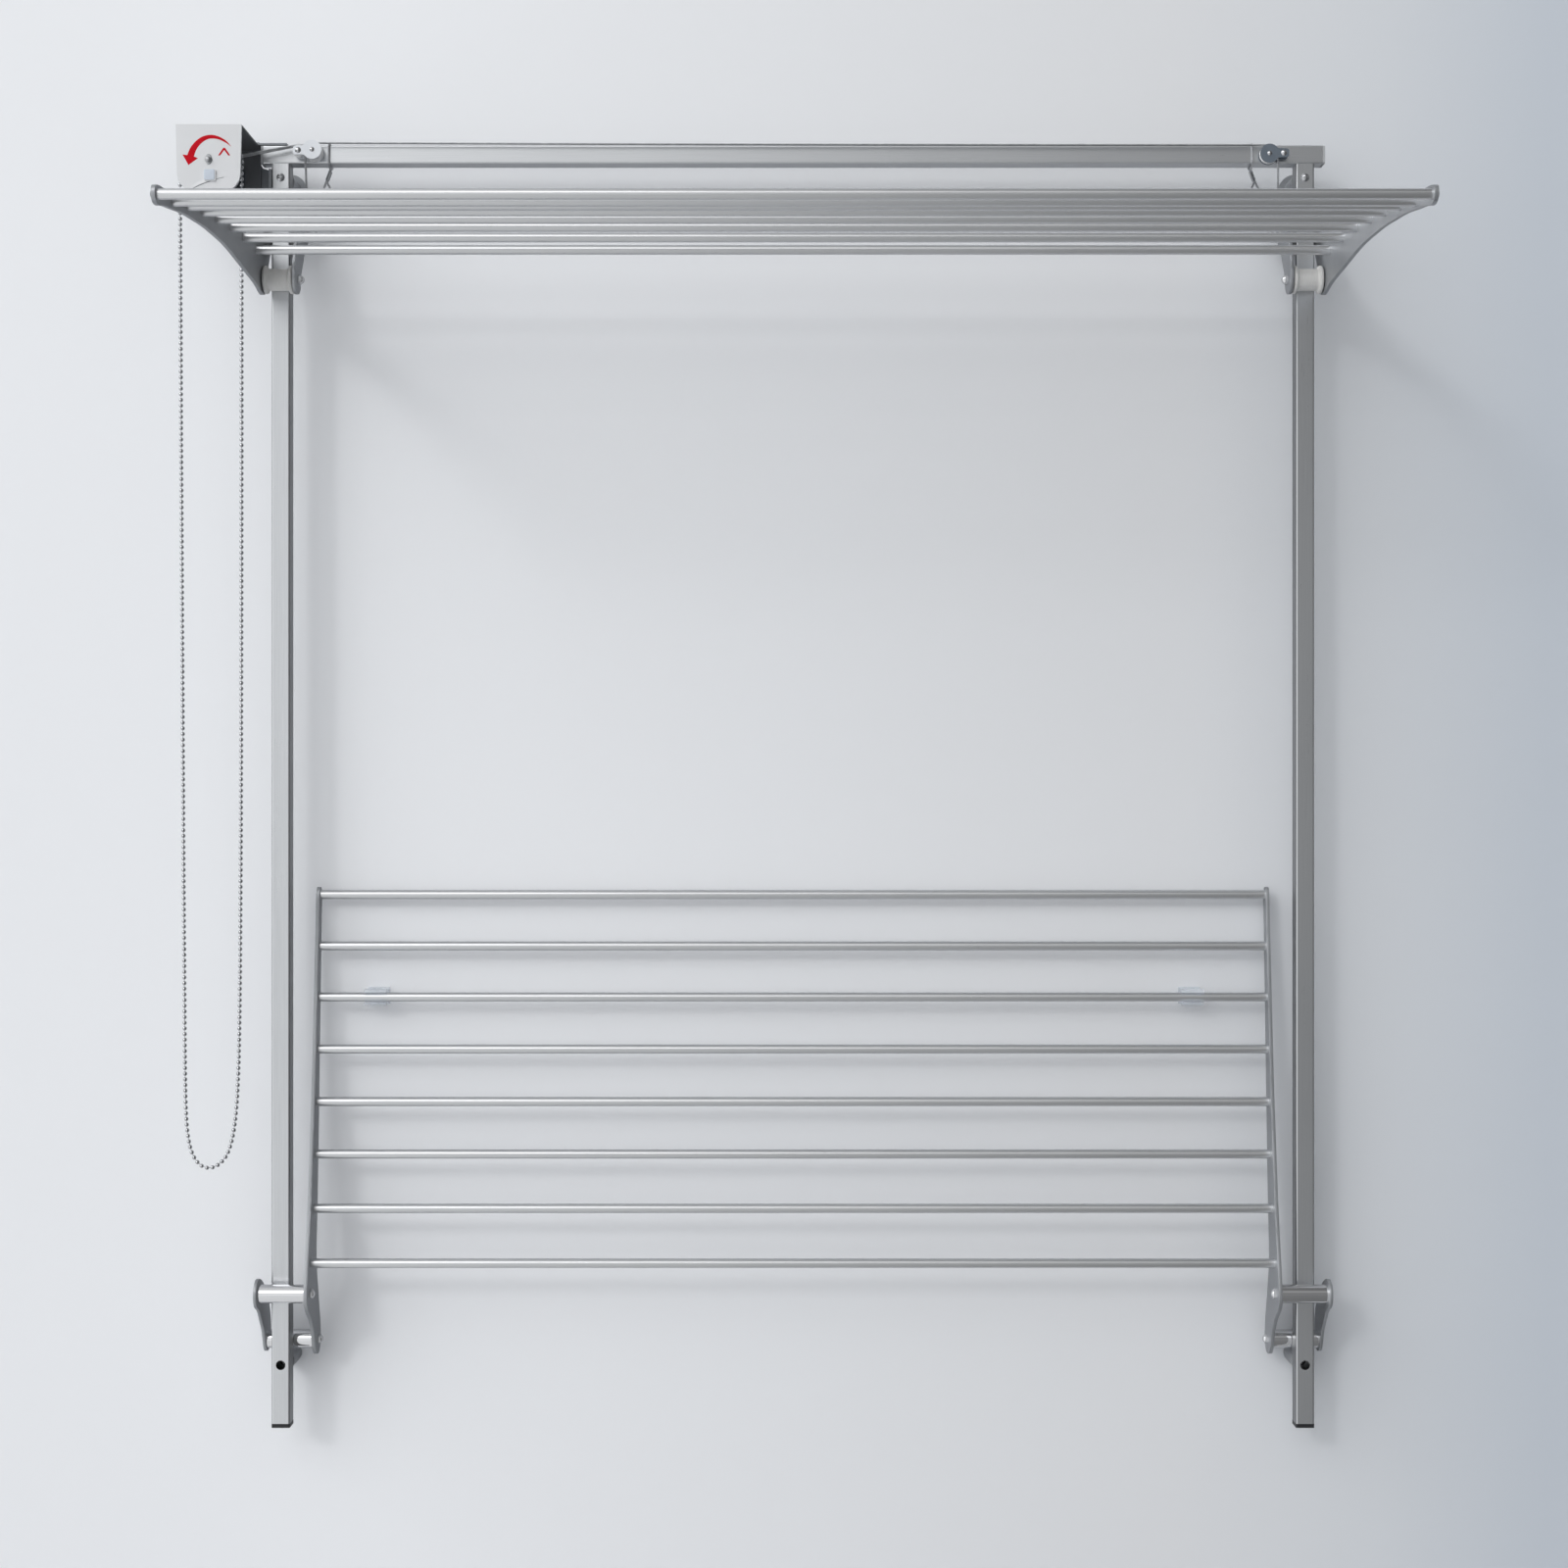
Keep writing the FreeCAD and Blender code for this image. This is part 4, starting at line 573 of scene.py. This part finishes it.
for sx, label, nodes_for, loop_x in ((-1, "left", ("cable_drops_left", "cable_winch_run"), -505.5),
                                     (1, "right", ("cable_drops_right", "cable_cross_run", "cable_winch_run"), 500.5)):
    if sx < 0:
        a = tangent_angle(DRUM, DRUM_R, LG, LG_R)
        path = [(DRUM[0] + DRUM_R * math.cos(a), -80.0, DRUM[1] + DRUM_R * math.sin(a))]
        path += turn_xz(LG, LG_R, -73.1, a, 0.0)
    else:
        a = tangent_angle(DRUM, DRUM_R, LB, LB_R)
        c = tangent_angle(LB, LB_R, RB, RB_R)
        path = [(DRUM[0] + DRUM_R * math.cos(a), -72.0, DRUM[1] + DRUM_R * math.sin(a))]
        path += turn_xz(LB, LB_R, -66.1, a, c, 6)
        over_run = turn_xz(RB, RB_R, -66.7, c, 0.0)
        path += sag(path[-1], over_run[0], 0.5, 30)[1:] + over_run[1:]
    path += turn_yz(sx * 533.7, (AXLE_Y, AXLE_Z), 6.15, 180, 360, 20)
    path += [(sx * 533.5, -22.4, 606.2)]
    knot, grip, d, side = noose(sx, loop_x)
    V, F = rope(to_m(path + knot), CR, phase=0.4 * sx)
    cable = make("wire_cable_" + label, V, F, "cable", None, sharp=60, replaces=nodes_for)
    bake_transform(cable)
    g = np.array(grip)
    tail = [tuple(g + side), tuple(g + side + d * 5.0), tuple(g + side + d * 8.0 + np.array([0, 0, -1.0])),
            tuple(g + side + np.array([-sx * 0.6, -0.4, -13.0])), tuple(g + side + np.array([-sx * 2.2, -0.6, -22.0])),
            tuple(g + side + np.array([-sx * 2.6, 0.0, -32.0]))]
    V, F = rope(nurbs_line([tuple(v * MM for v in p) for p in tail], 8), CR, phase=1.1)
    ferr = lathe([(-0.2, 0.0), (-0.2, 1.2), (0.2, 1.45), (3.6, 1.45), (4.2, 1.1), (4.2, 0.0)], (0, 0, 0), (0, 0, -1), 12)
    tip = V.reshape(-1, 3)[-24:].mean(axis=0)
    make("wire_cable_tail_" + label, V, F, "cable", "frame", sharp=60, replaces=("beam_cable_loops",))
    make("wire_cable_tip_" + label, ferr[0] * MM + tip, ferr[1], "zinc", "frame", replaces=("beam_cable_loops",))
    # crimp sleeve: an oval barrel pressed in two places round both strands
    n_ring, seg = 15, 24
    axis = Vector(tuple(d))
    u = Vector(tuple(side)).normalized()
    u = (u - axis * u.dot(axis)).normalized()
    w = axis.cross(u)
    mid = Vector(tuple(g + side * 0.5))
    V, F = [], []
    for i in range(n_ring):
        t = i / (n_ring - 1)
        h = -5.2 + 10.4 * t
        pinch = 1.0 - 0.16 * (math.exp(-((h + 2.2) / 0.9) ** 2) + math.exp(-((h - 2.2) / 0.9) ** 2))
        end = 0.86 if i in (0, n_ring - 1) else 1.0
        for j in range(seg):
            q = 2 * math.pi * j / seg
            V.append(mid + axis * h + u * (3.1 * end * math.cos(q)) + w * (2.05 * end * pinch * math.sin(q)))
    for i in range(n_ring - 1):
        for j in range(seg):
            j2 = (j + 1) % seg
            F.append((i * seg + j, i * seg + j2, (i + 1) * seg + j2, (i + 1) * seg + j))
    F.append(tuple(range(seg))[::-1])
    F.append(tuple((n_ring - 1) * seg + j for j in range(seg)))
    make("cable_crimp_" + label, np.array([tuple(v) for v in V]) * MM, F, "zinc", "frame", sharp=50, replaces=("beam_cable_loops",))

# cable wound on the drum, in two layers
turns = []
for k in np.linspace(0, 2 * math.pi * 13.4, 13 * 36):
    turns.append((DRUM[0] + 14.25 * math.sin(k), -100.4 + 2.55 * k / (2 * math.pi), DRUM[1] + 14.25 * math.cos(k)))
for k in np.linspace(0, 2 * math.pi * 5.2, 5 * 36):
    turns.append((DRUM[0] + 15.9 * math.sin(k + 0.4 * 2 * math.pi), -66.4 - 2.6 * k / (2 * math.pi), DRUM[1] + 15.9 * math.cos(k + 0.4 * 2 * math.pi)))
V, F = tube(np.array(turns) * MM, CR, seg=10)
make("cable_on_drum", V, F, "cable", "winch_rotor", sharp=60, replaces=("wound_cable",))

# wrap spring round the hub
coil = []
for k in np.linspace(0, 2 * math.pi * 5.0, 5 * 40):
    coil.append((DRUM[0] + 10.2 * math.cos(k), -120.2 + 2.5 * k / (2 * math.pi), DRUM[1] + 10.2 * math.sin(k)))
V, F = tube(np.array(coil) * MM, 1.12 * MM, seg=12)
make("brake_spring_coil", V, F, "spring", "frame", sharp=60, replaces=("brake_spring",))

# ------------------------------------------------------------------ winch front
def catmull(points, n=8):
    p = [np.array(q, float) for q in points]
    p = [2 * p[0] - p[1]] + p + [2 * p[-1] - p[-2]]
    out = []
    for i in range(1, len(p) - 2):
        for t in np.linspace(0, 1, n, endpoint=False):
            out.append(0.5 * ((2 * p[i]) + (-p[i - 1] + p[i + 1]) * t + (2 * p[i - 1] - 5 * p[i] + 4 * p[i + 1] - p[i + 2]) * t * t
                              + (-p[i - 1] + 3 * p[i] - 3 * p[i + 1] + p[i + 2]) * t ** 3))
    out.append(p[-2])
    return out


def plaque(name, outline, y, thick, edge, look, body="frame"):
    """A flat shape in XZ that stands proud of the plane y towards the front, with a softened rim."""
    bm = bmesh.new()
    back = [bm.verts.new((x * MM, y * MM, z * MM)) for x, z in outline]
    face = bm.faces.new(back)
    bm.faces.ensure_lookup_table()
    bm.normal_update()
    if face.normal.y > 0:
        face.normal_flip()
    res = bmesh.ops.extrude_face_region(bm, geom=[face])
    top = [v for v in res["geom"] if isinstance(v, bmesh.types.BMVert)]
    bmesh.ops.translate(bm, verts=top, vec=(0, -thick * MM, 0))
    cap = [f for f in res["geom"] if isinstance(f, bmesh.types.BMFace)]
    if edge:
        bmesh.ops.bevel(bm, geom=list({e for f in cap for e in f.edges}), offset=edge * MM, segments=3, affect="EDGES", profile=0.6)
    bmesh.ops.recalc_face_normals(bm, faces=bm.faces)
    me = bpy.data.meshes.new(name)
    bm.to_mesh(me)
    bm.free()
    me.polygons.foreach_set("use_smooth", [True] * len(me.polygons))
    me.set_sharp_from_angle(angle=math.radians(45))
    me.materials.append(MAT[look])
    ob = bpy.data.objects.new(name, me)
    SC.collection.objects.link(ob)
    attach(ob, body)
    return ob


outer = catmull([(-593.4, 659.4), (-599.0, 665.6), (-606.6, 670.2), (-615.2, 672.1), (-624.2, 670.2), (-631.6, 665.0), (-637.2, 658.0), (-640.2, 650.7)])
inner = catmull([(-633.2, 649.2), (-630.9, 655.8), (-626.4, 662.2), (-620.6, 666.6), (-614.4, 668.2), (-606.8, 667.2), (-599.6, 663.8), (-593.4, 659.4)])
arrow = [tuple(q) for q in outer] + [(-645.3, 651.3), (-638.9, 640.2), (-628.9, 647.4)] + [tuple(q) for q in inner[:-1]]
plaque("turn_arrow", arrow, -138.98, 0.14, 0.04, "red")
plaque("turn_mark", [(-607.6, 650.3), (-605.6, 650.3), (-601.2, 656.0), (-596.8, 650.3), (-594.8, 650.3), (-600.3, 658.4), (-602.1, 658.4)],
       -138.98, 0.14, 0.04, "red")


def rounded_square(cx, cz, hw, hh, r, n=6):
    pts = []
    for qx, qz, a0 in ((1, 1, 0), (-1, 1, 90), (-1, -1, 180), (1, -1, 270)):
        for a in np.radians(np.linspace(a0, a0 + 90, n)):
            pts.append((cx + qx * (hw - r) + r * math.cos(a), cz + qz * (hh - r) + r * math.sin(a)))
    return pts


plaque("latch_button", rounded_square(-616.6, 629.8, 5.6, 5.6, 1.3), -140.58, 0.7, 0.45, "button")

# pressed crease: one low edge, steep below and long above
route = catmull([(-635.6, 615.2), (-627.6, 619.2), (-619.6, 622.3), (-611.6, 625.0), (-603.4, 627.3), (-594.4, 629.0)], 10)
V, F = [], []
rows = len(route)
for i, p in enumerate(route):
    q = route[min(i + 1, rows - 1)] - route[max(i - 1, 0)]
    q = q / np.linalg.norm(q)
    n2 = np.array([-q[1], q[0]])
    fade = min(1.0, (i + 0.4) / 9.0, (rows - 1 - i + 0.2) / 30.0)
    for off, rise in ((-0.75, -0.03), (-0.42, 0.34), (-0.1, 0.62), (0.3, 0.66), (1.2, 0.42), (2.4, 0.16), (3.8, -0.03)):
        V.append((p[0] + n2[0] * off, -139.0 - rise * fade, p[1] + n2[1] * off))
for i in range(rows - 1):
    for j in range(6):
        a = i * 7 + j
        F.append((a, a + 7, a + 8, a + 1))
crease = make("pressed_crease", np.array(V) * MM, F, "cover", "frame", sharp=30)
# the two steep lower rows take the dark grey bracket material: painted shade along the crease
crease.data.materials.append(MAT["bracket"])
crease.data.polygons.foreach_set("material_index", [1 if i % 6 in (0, 1) and i < 6 * 42 else 0 for i in range(len(crease.data.polygons))])

# axle: a plain rod, a keeper plate and a turned end
ax = []
V1, F1 = lathe([(41.2, 0.0), (41.2, 3.4), (41.8, 4.0), (138.9, 4.0), (139.3, 3.5), (139.9, 2.55), (140.5, 2.5), (140.9, 2.85), (141.5, 2.75),
                (142.1, 2.1), (142.35, 1.0), (142.4, 0.0)], (DRUM[0] * MM / MM, 0, DRUM[1]), (0, -1, 0), 40)
keep_pts = []
for a in np.radians(np.linspace(0, 360, 40, endpoint=False)):
    keep_pts.append((DRUM[0] + 2.9 * math.cos(a), DRUM[1] + 0.5 + 2.9 * math.sin(a) + (2.4 if math.sin(a) >= 0 else -2.4)))
V2 = [(x, y, z) for y in (-138.9, -139.75) for x, z in keep_pts] + [(DRUM[0] + (x - DRUM[0]) * 0.86, -140.05, DRUM[1] + 0.5 + (z - DRUM[1] - 0.5) * 0.92) for x, z in keep_pts]
F2 = []
for k in (0, 40):
    for j in range(40):
        F2.append((k + j, k + (j + 1) % 40, k + 40 + (j + 1) % 40, k + 40 + j))
F2.append(tuple(80 + j for j in range(40))[::-1])
F2.append(tuple(range(40)))
V, F = merged([(V1, F1), (np.array(V2), F2)])
axle = make("winch_axle_turned", V * MM, F, "zinc", "frame", sharp=35, replaces=("winch_axle",))
bm = bmesh.new()
bm.from_mesh(axle.data)
bmesh.ops.recalc_face_normals(bm, faces=bm.faces)
bm.to_mesh(axle.data)
bm.free()

# ------------------------------------------------------------------ pressed and sheared edges catch light
def soften_edges(names, width, angle=38.0, segments=2):
    for nm in names:
        ob = NODES[nm]
        wm = ob.modifiers.new("join", "WELD")
        wm.merge_threshold = 2e-6
        bv = ob.modifiers.new("edge", "BEVEL")
        bv.width = width * MM
        bv.segments = segments
        bv.limit_method = "ANGLE"
        bv.angle_limit = math.radians(angle)
        bv.harden_normals = False


soften_edges(["upper_blade_left", "upper_blade_right", "lower_blade_left", "lower_blade_right", "upper_brackets", "lower_brackets"], 0.7)
soften_edges(["winch_housing", "winch_bracket", "winch_tie_plate"], 0.35)
soften_edges(["beam_end_caps"], 1.6)
soften_edges(["post_end_caps"], 0.8)

# ------------------------------------------------------------------ stage: wall and floor
def stage_plane(name, verts, mat):
    me = bpy.data.meshes.new(name)
    me.from_pydata(verts, [], [(0, 1, 2, 3)])
    me.materials.append(mat)
    ob = bpy.data.objects.new(name, me)
    SC.collection.objects.link(ob)
    return ob


def stage_material(name, colour, painted_falloff=None, see_through=False):
    m = bpy.data.materials.new(name)
    m.use_nodes = True
    nt = m.node_tree
    for n in list(nt.nodes):
        nt.nodes.remove(n)
    out = nt.nodes.new("ShaderNodeOutputMaterial")
    front = nt.nodes.new("ShaderNodeBsdfDiffuse")
    # glossy rays see the wall as a fixed darker grey: painted dark reflection of the wall in the metal parts
    reflected_wall_shade = nt.nodes.new("ShaderNodeBsdfDiffuse")
    reflected_wall_shade.inputs["Color"].default_value = (0.48, 0.49, 0.51, 1.0)
    clear = nt.nodes.new("ShaderNodeBsdfTransparent")
    geo = nt.nodes.new("ShaderNodeNewGeometry")
    path = nt.nodes.new("ShaderNodeLightPath")
    mix0 = nt.nodes.new("ShaderNodeMixShader")
    mix = nt.nodes.new("ShaderNodeMixShader")
    tc = nt.nodes.new("ShaderNodeTexCoord")
    sep = nt.nodes.new("ShaderNodeSeparateXYZ")
    nt.links.new(tc.outputs["Object"], sep.inputs[0])
    slow = noise(nt, (0.8, 0.8, 0.8), 2.0, 0.5)
    base = ramp(nt, slow, [(0.3, tuple(0.985 * c for c in colour)), (0.7, colour)], "LINEAR")
    # painted light falloff: the wall colour is darker towards the right
    if painted_falloff is not None:
        f = math_node(nt, "MULTIPLY_ADD", sep.outputs["X"], 0.5, False)
        f.node.inputs[2].default_value = 0.5
        base = mixc(nt, 1.0, base, ramp(nt, f, painted_falloff, "LINEAR"), "MULTIPLY")
    nt.links.new(base, front.inputs["Color"])
    nt.links.new(path.outputs["Is Glossy Ray"], mix0.inputs[0])
    nt.links.new(front.outputs[0], mix0.inputs[1])
    nt.links.new((clear if see_through else reflected_wall_shade).outputs[0], mix0.inputs[2])
    nt.links.new(geo.outputs["Backfacing"], mix.inputs[0])
    nt.links.new(mix0.outputs[0], mix.inputs[1])
    nt.links.new(clear.outputs[0], mix.inputs[2])
    nt.links.new(mix.outputs[0], out.inputs["Surface"])
    return m


# the colour stops darken the wall towards the right: painted light falloff
wall_mat = stage_material("backdrop_wall", (0.915, 0.93, 0.955), [(0.07, 0.97), (0.28, 0.97), (0.5, 0.89), (0.71, 0.80), (0.83, (0.715, 0.73, 0.745)), (0.92, (0.61, 0.645, 0.685))])
floor_mat = stage_material("backdrop_floor", (0.50, 0.505, 0.52), see_through=True)
FLOOR_Z = -1.15
stage_plane("backdrop_wall", [(-4.0, 0.0006, FLOOR_Z), (4.0, 0.0006, FLOOR_Z), (4.0, 0.0006, 3.0), (-4.0, 0.0006, 3.0)], wall_mat)
stage_plane("backdrop_floor", [(-4.0, -6.0, FLOOR_Z), (4.0, -6.0, FLOOR_Z), (4.0, 0.0006, FLOOR_Z), (-4.0, 0.0006, FLOOR_Z)], floor_mat)

# ------------------------------------------------------------------ light
world = bpy.data.worlds.new("studio_air")
SC.world = world
world.use_nodes = True
nt = world.node_tree
bg = nt.nodes["Background"]
tc = nt.nodes.new("ShaderNodeTexCoord")
sep = nt.nodes.new("ShaderNodeSeparateXYZ")
nt.links.new(tc.outputs["Generated"], sep.inputs[0])
fx = math_node(nt, "MULTIPLY_ADD", sep.outputs["X"], 0.5)
fx.node.inputs[2].default_value = 0.5
fz = math_node(nt, "MULTIPLY_ADD", sep.outputs["Z"], 0.5)
fz.node.inputs[2].default_value = 0.5
side = ramp(nt, fx, [(0.0, 1.0), (0.30, 0.98), (0.43, 0.82), (0.50, 0.53), (0.57, 0.225), (0.70, 0.13), (1.0, 0.11)], "B_SPLINE")
tall = ramp(nt, fz, [(0.0, 0.80), (0.30, 0.84), (0.40, 0.90), (0.50, 1.0), (0.58, 0.98), (0.64, 0.85), (1.0, 0.72)], "LINEAR")
soft = mixc(nt, 1.0, side, tall, "MULTIPLY")
strip_z = ramp(nt, fz, [(0.0, 0.0), (0.66, 0.0), (0.73, 1.0), (0.84, 1.0), (0.92, 0.0), (1.0, 0.0)], "EASE")
strip_x = ramp(nt, fx, [(0.0, 1.0), (0.37, 1.0), (0.44, 0.75), (0.50, 0.28), (0.57, 0.07), (1.0, 0.04)], "EASE")
strip = mixc(nt, 1.0, strip_z, strip_x, "MULTIPLY")
tint = mixc(nt, 1.0, soft, (0.97, 0.985, 1.0), "MULTIPLY")
glow = mixc(nt, 1.0, strip, (1.7, 1.7, 1.7), "MULTIPLY")
total = mixc(nt, 1.0, tint, glow, "ADD")
total.node.clamp_result = False
nt.links.new(total, bg.inputs["Color"])
bg.inputs["Strength"].default_value = 1.0


sun = bpy.data.lights.new("key_sun", "SUN")
sun.energy = 0.34
sun.angle = math.radians(9.0)
sun.color = (1.0, 0.995, 0.985)
sun_ob = bpy.data.objects.new("key_sun", sun)
sun_ob.rotation_mode = "QUATERNION"
sun_ob.rotation_quaternion = Vector((0.68, 1.0, -0.58)).to_track_quat("-Z", "Y")
sun_ob.location = (-2.0, -3.0, 2.0)
SC.collection.objects.link(sun_ob)
fill = bpy.data.lights.new("soft_fill", "SUN")
fill.energy = 0.88
fill.angle = math.radians(140.0)
fill_ob = bpy.data.objects.new("soft_fill", fill)
fill_ob.rotation_mode = "QUATERNION"
fill_ob.rotation_quaternion = Vector((0.25, 1.0, -0.2)).to_track_quat("-Z", "Y")
fill_ob.location = (-0.5, -3.0, 1.0)
SC.collection.objects.link(fill_ob)
fill_ob.visible_glossy = False
sun_ob.visible_glossy = False
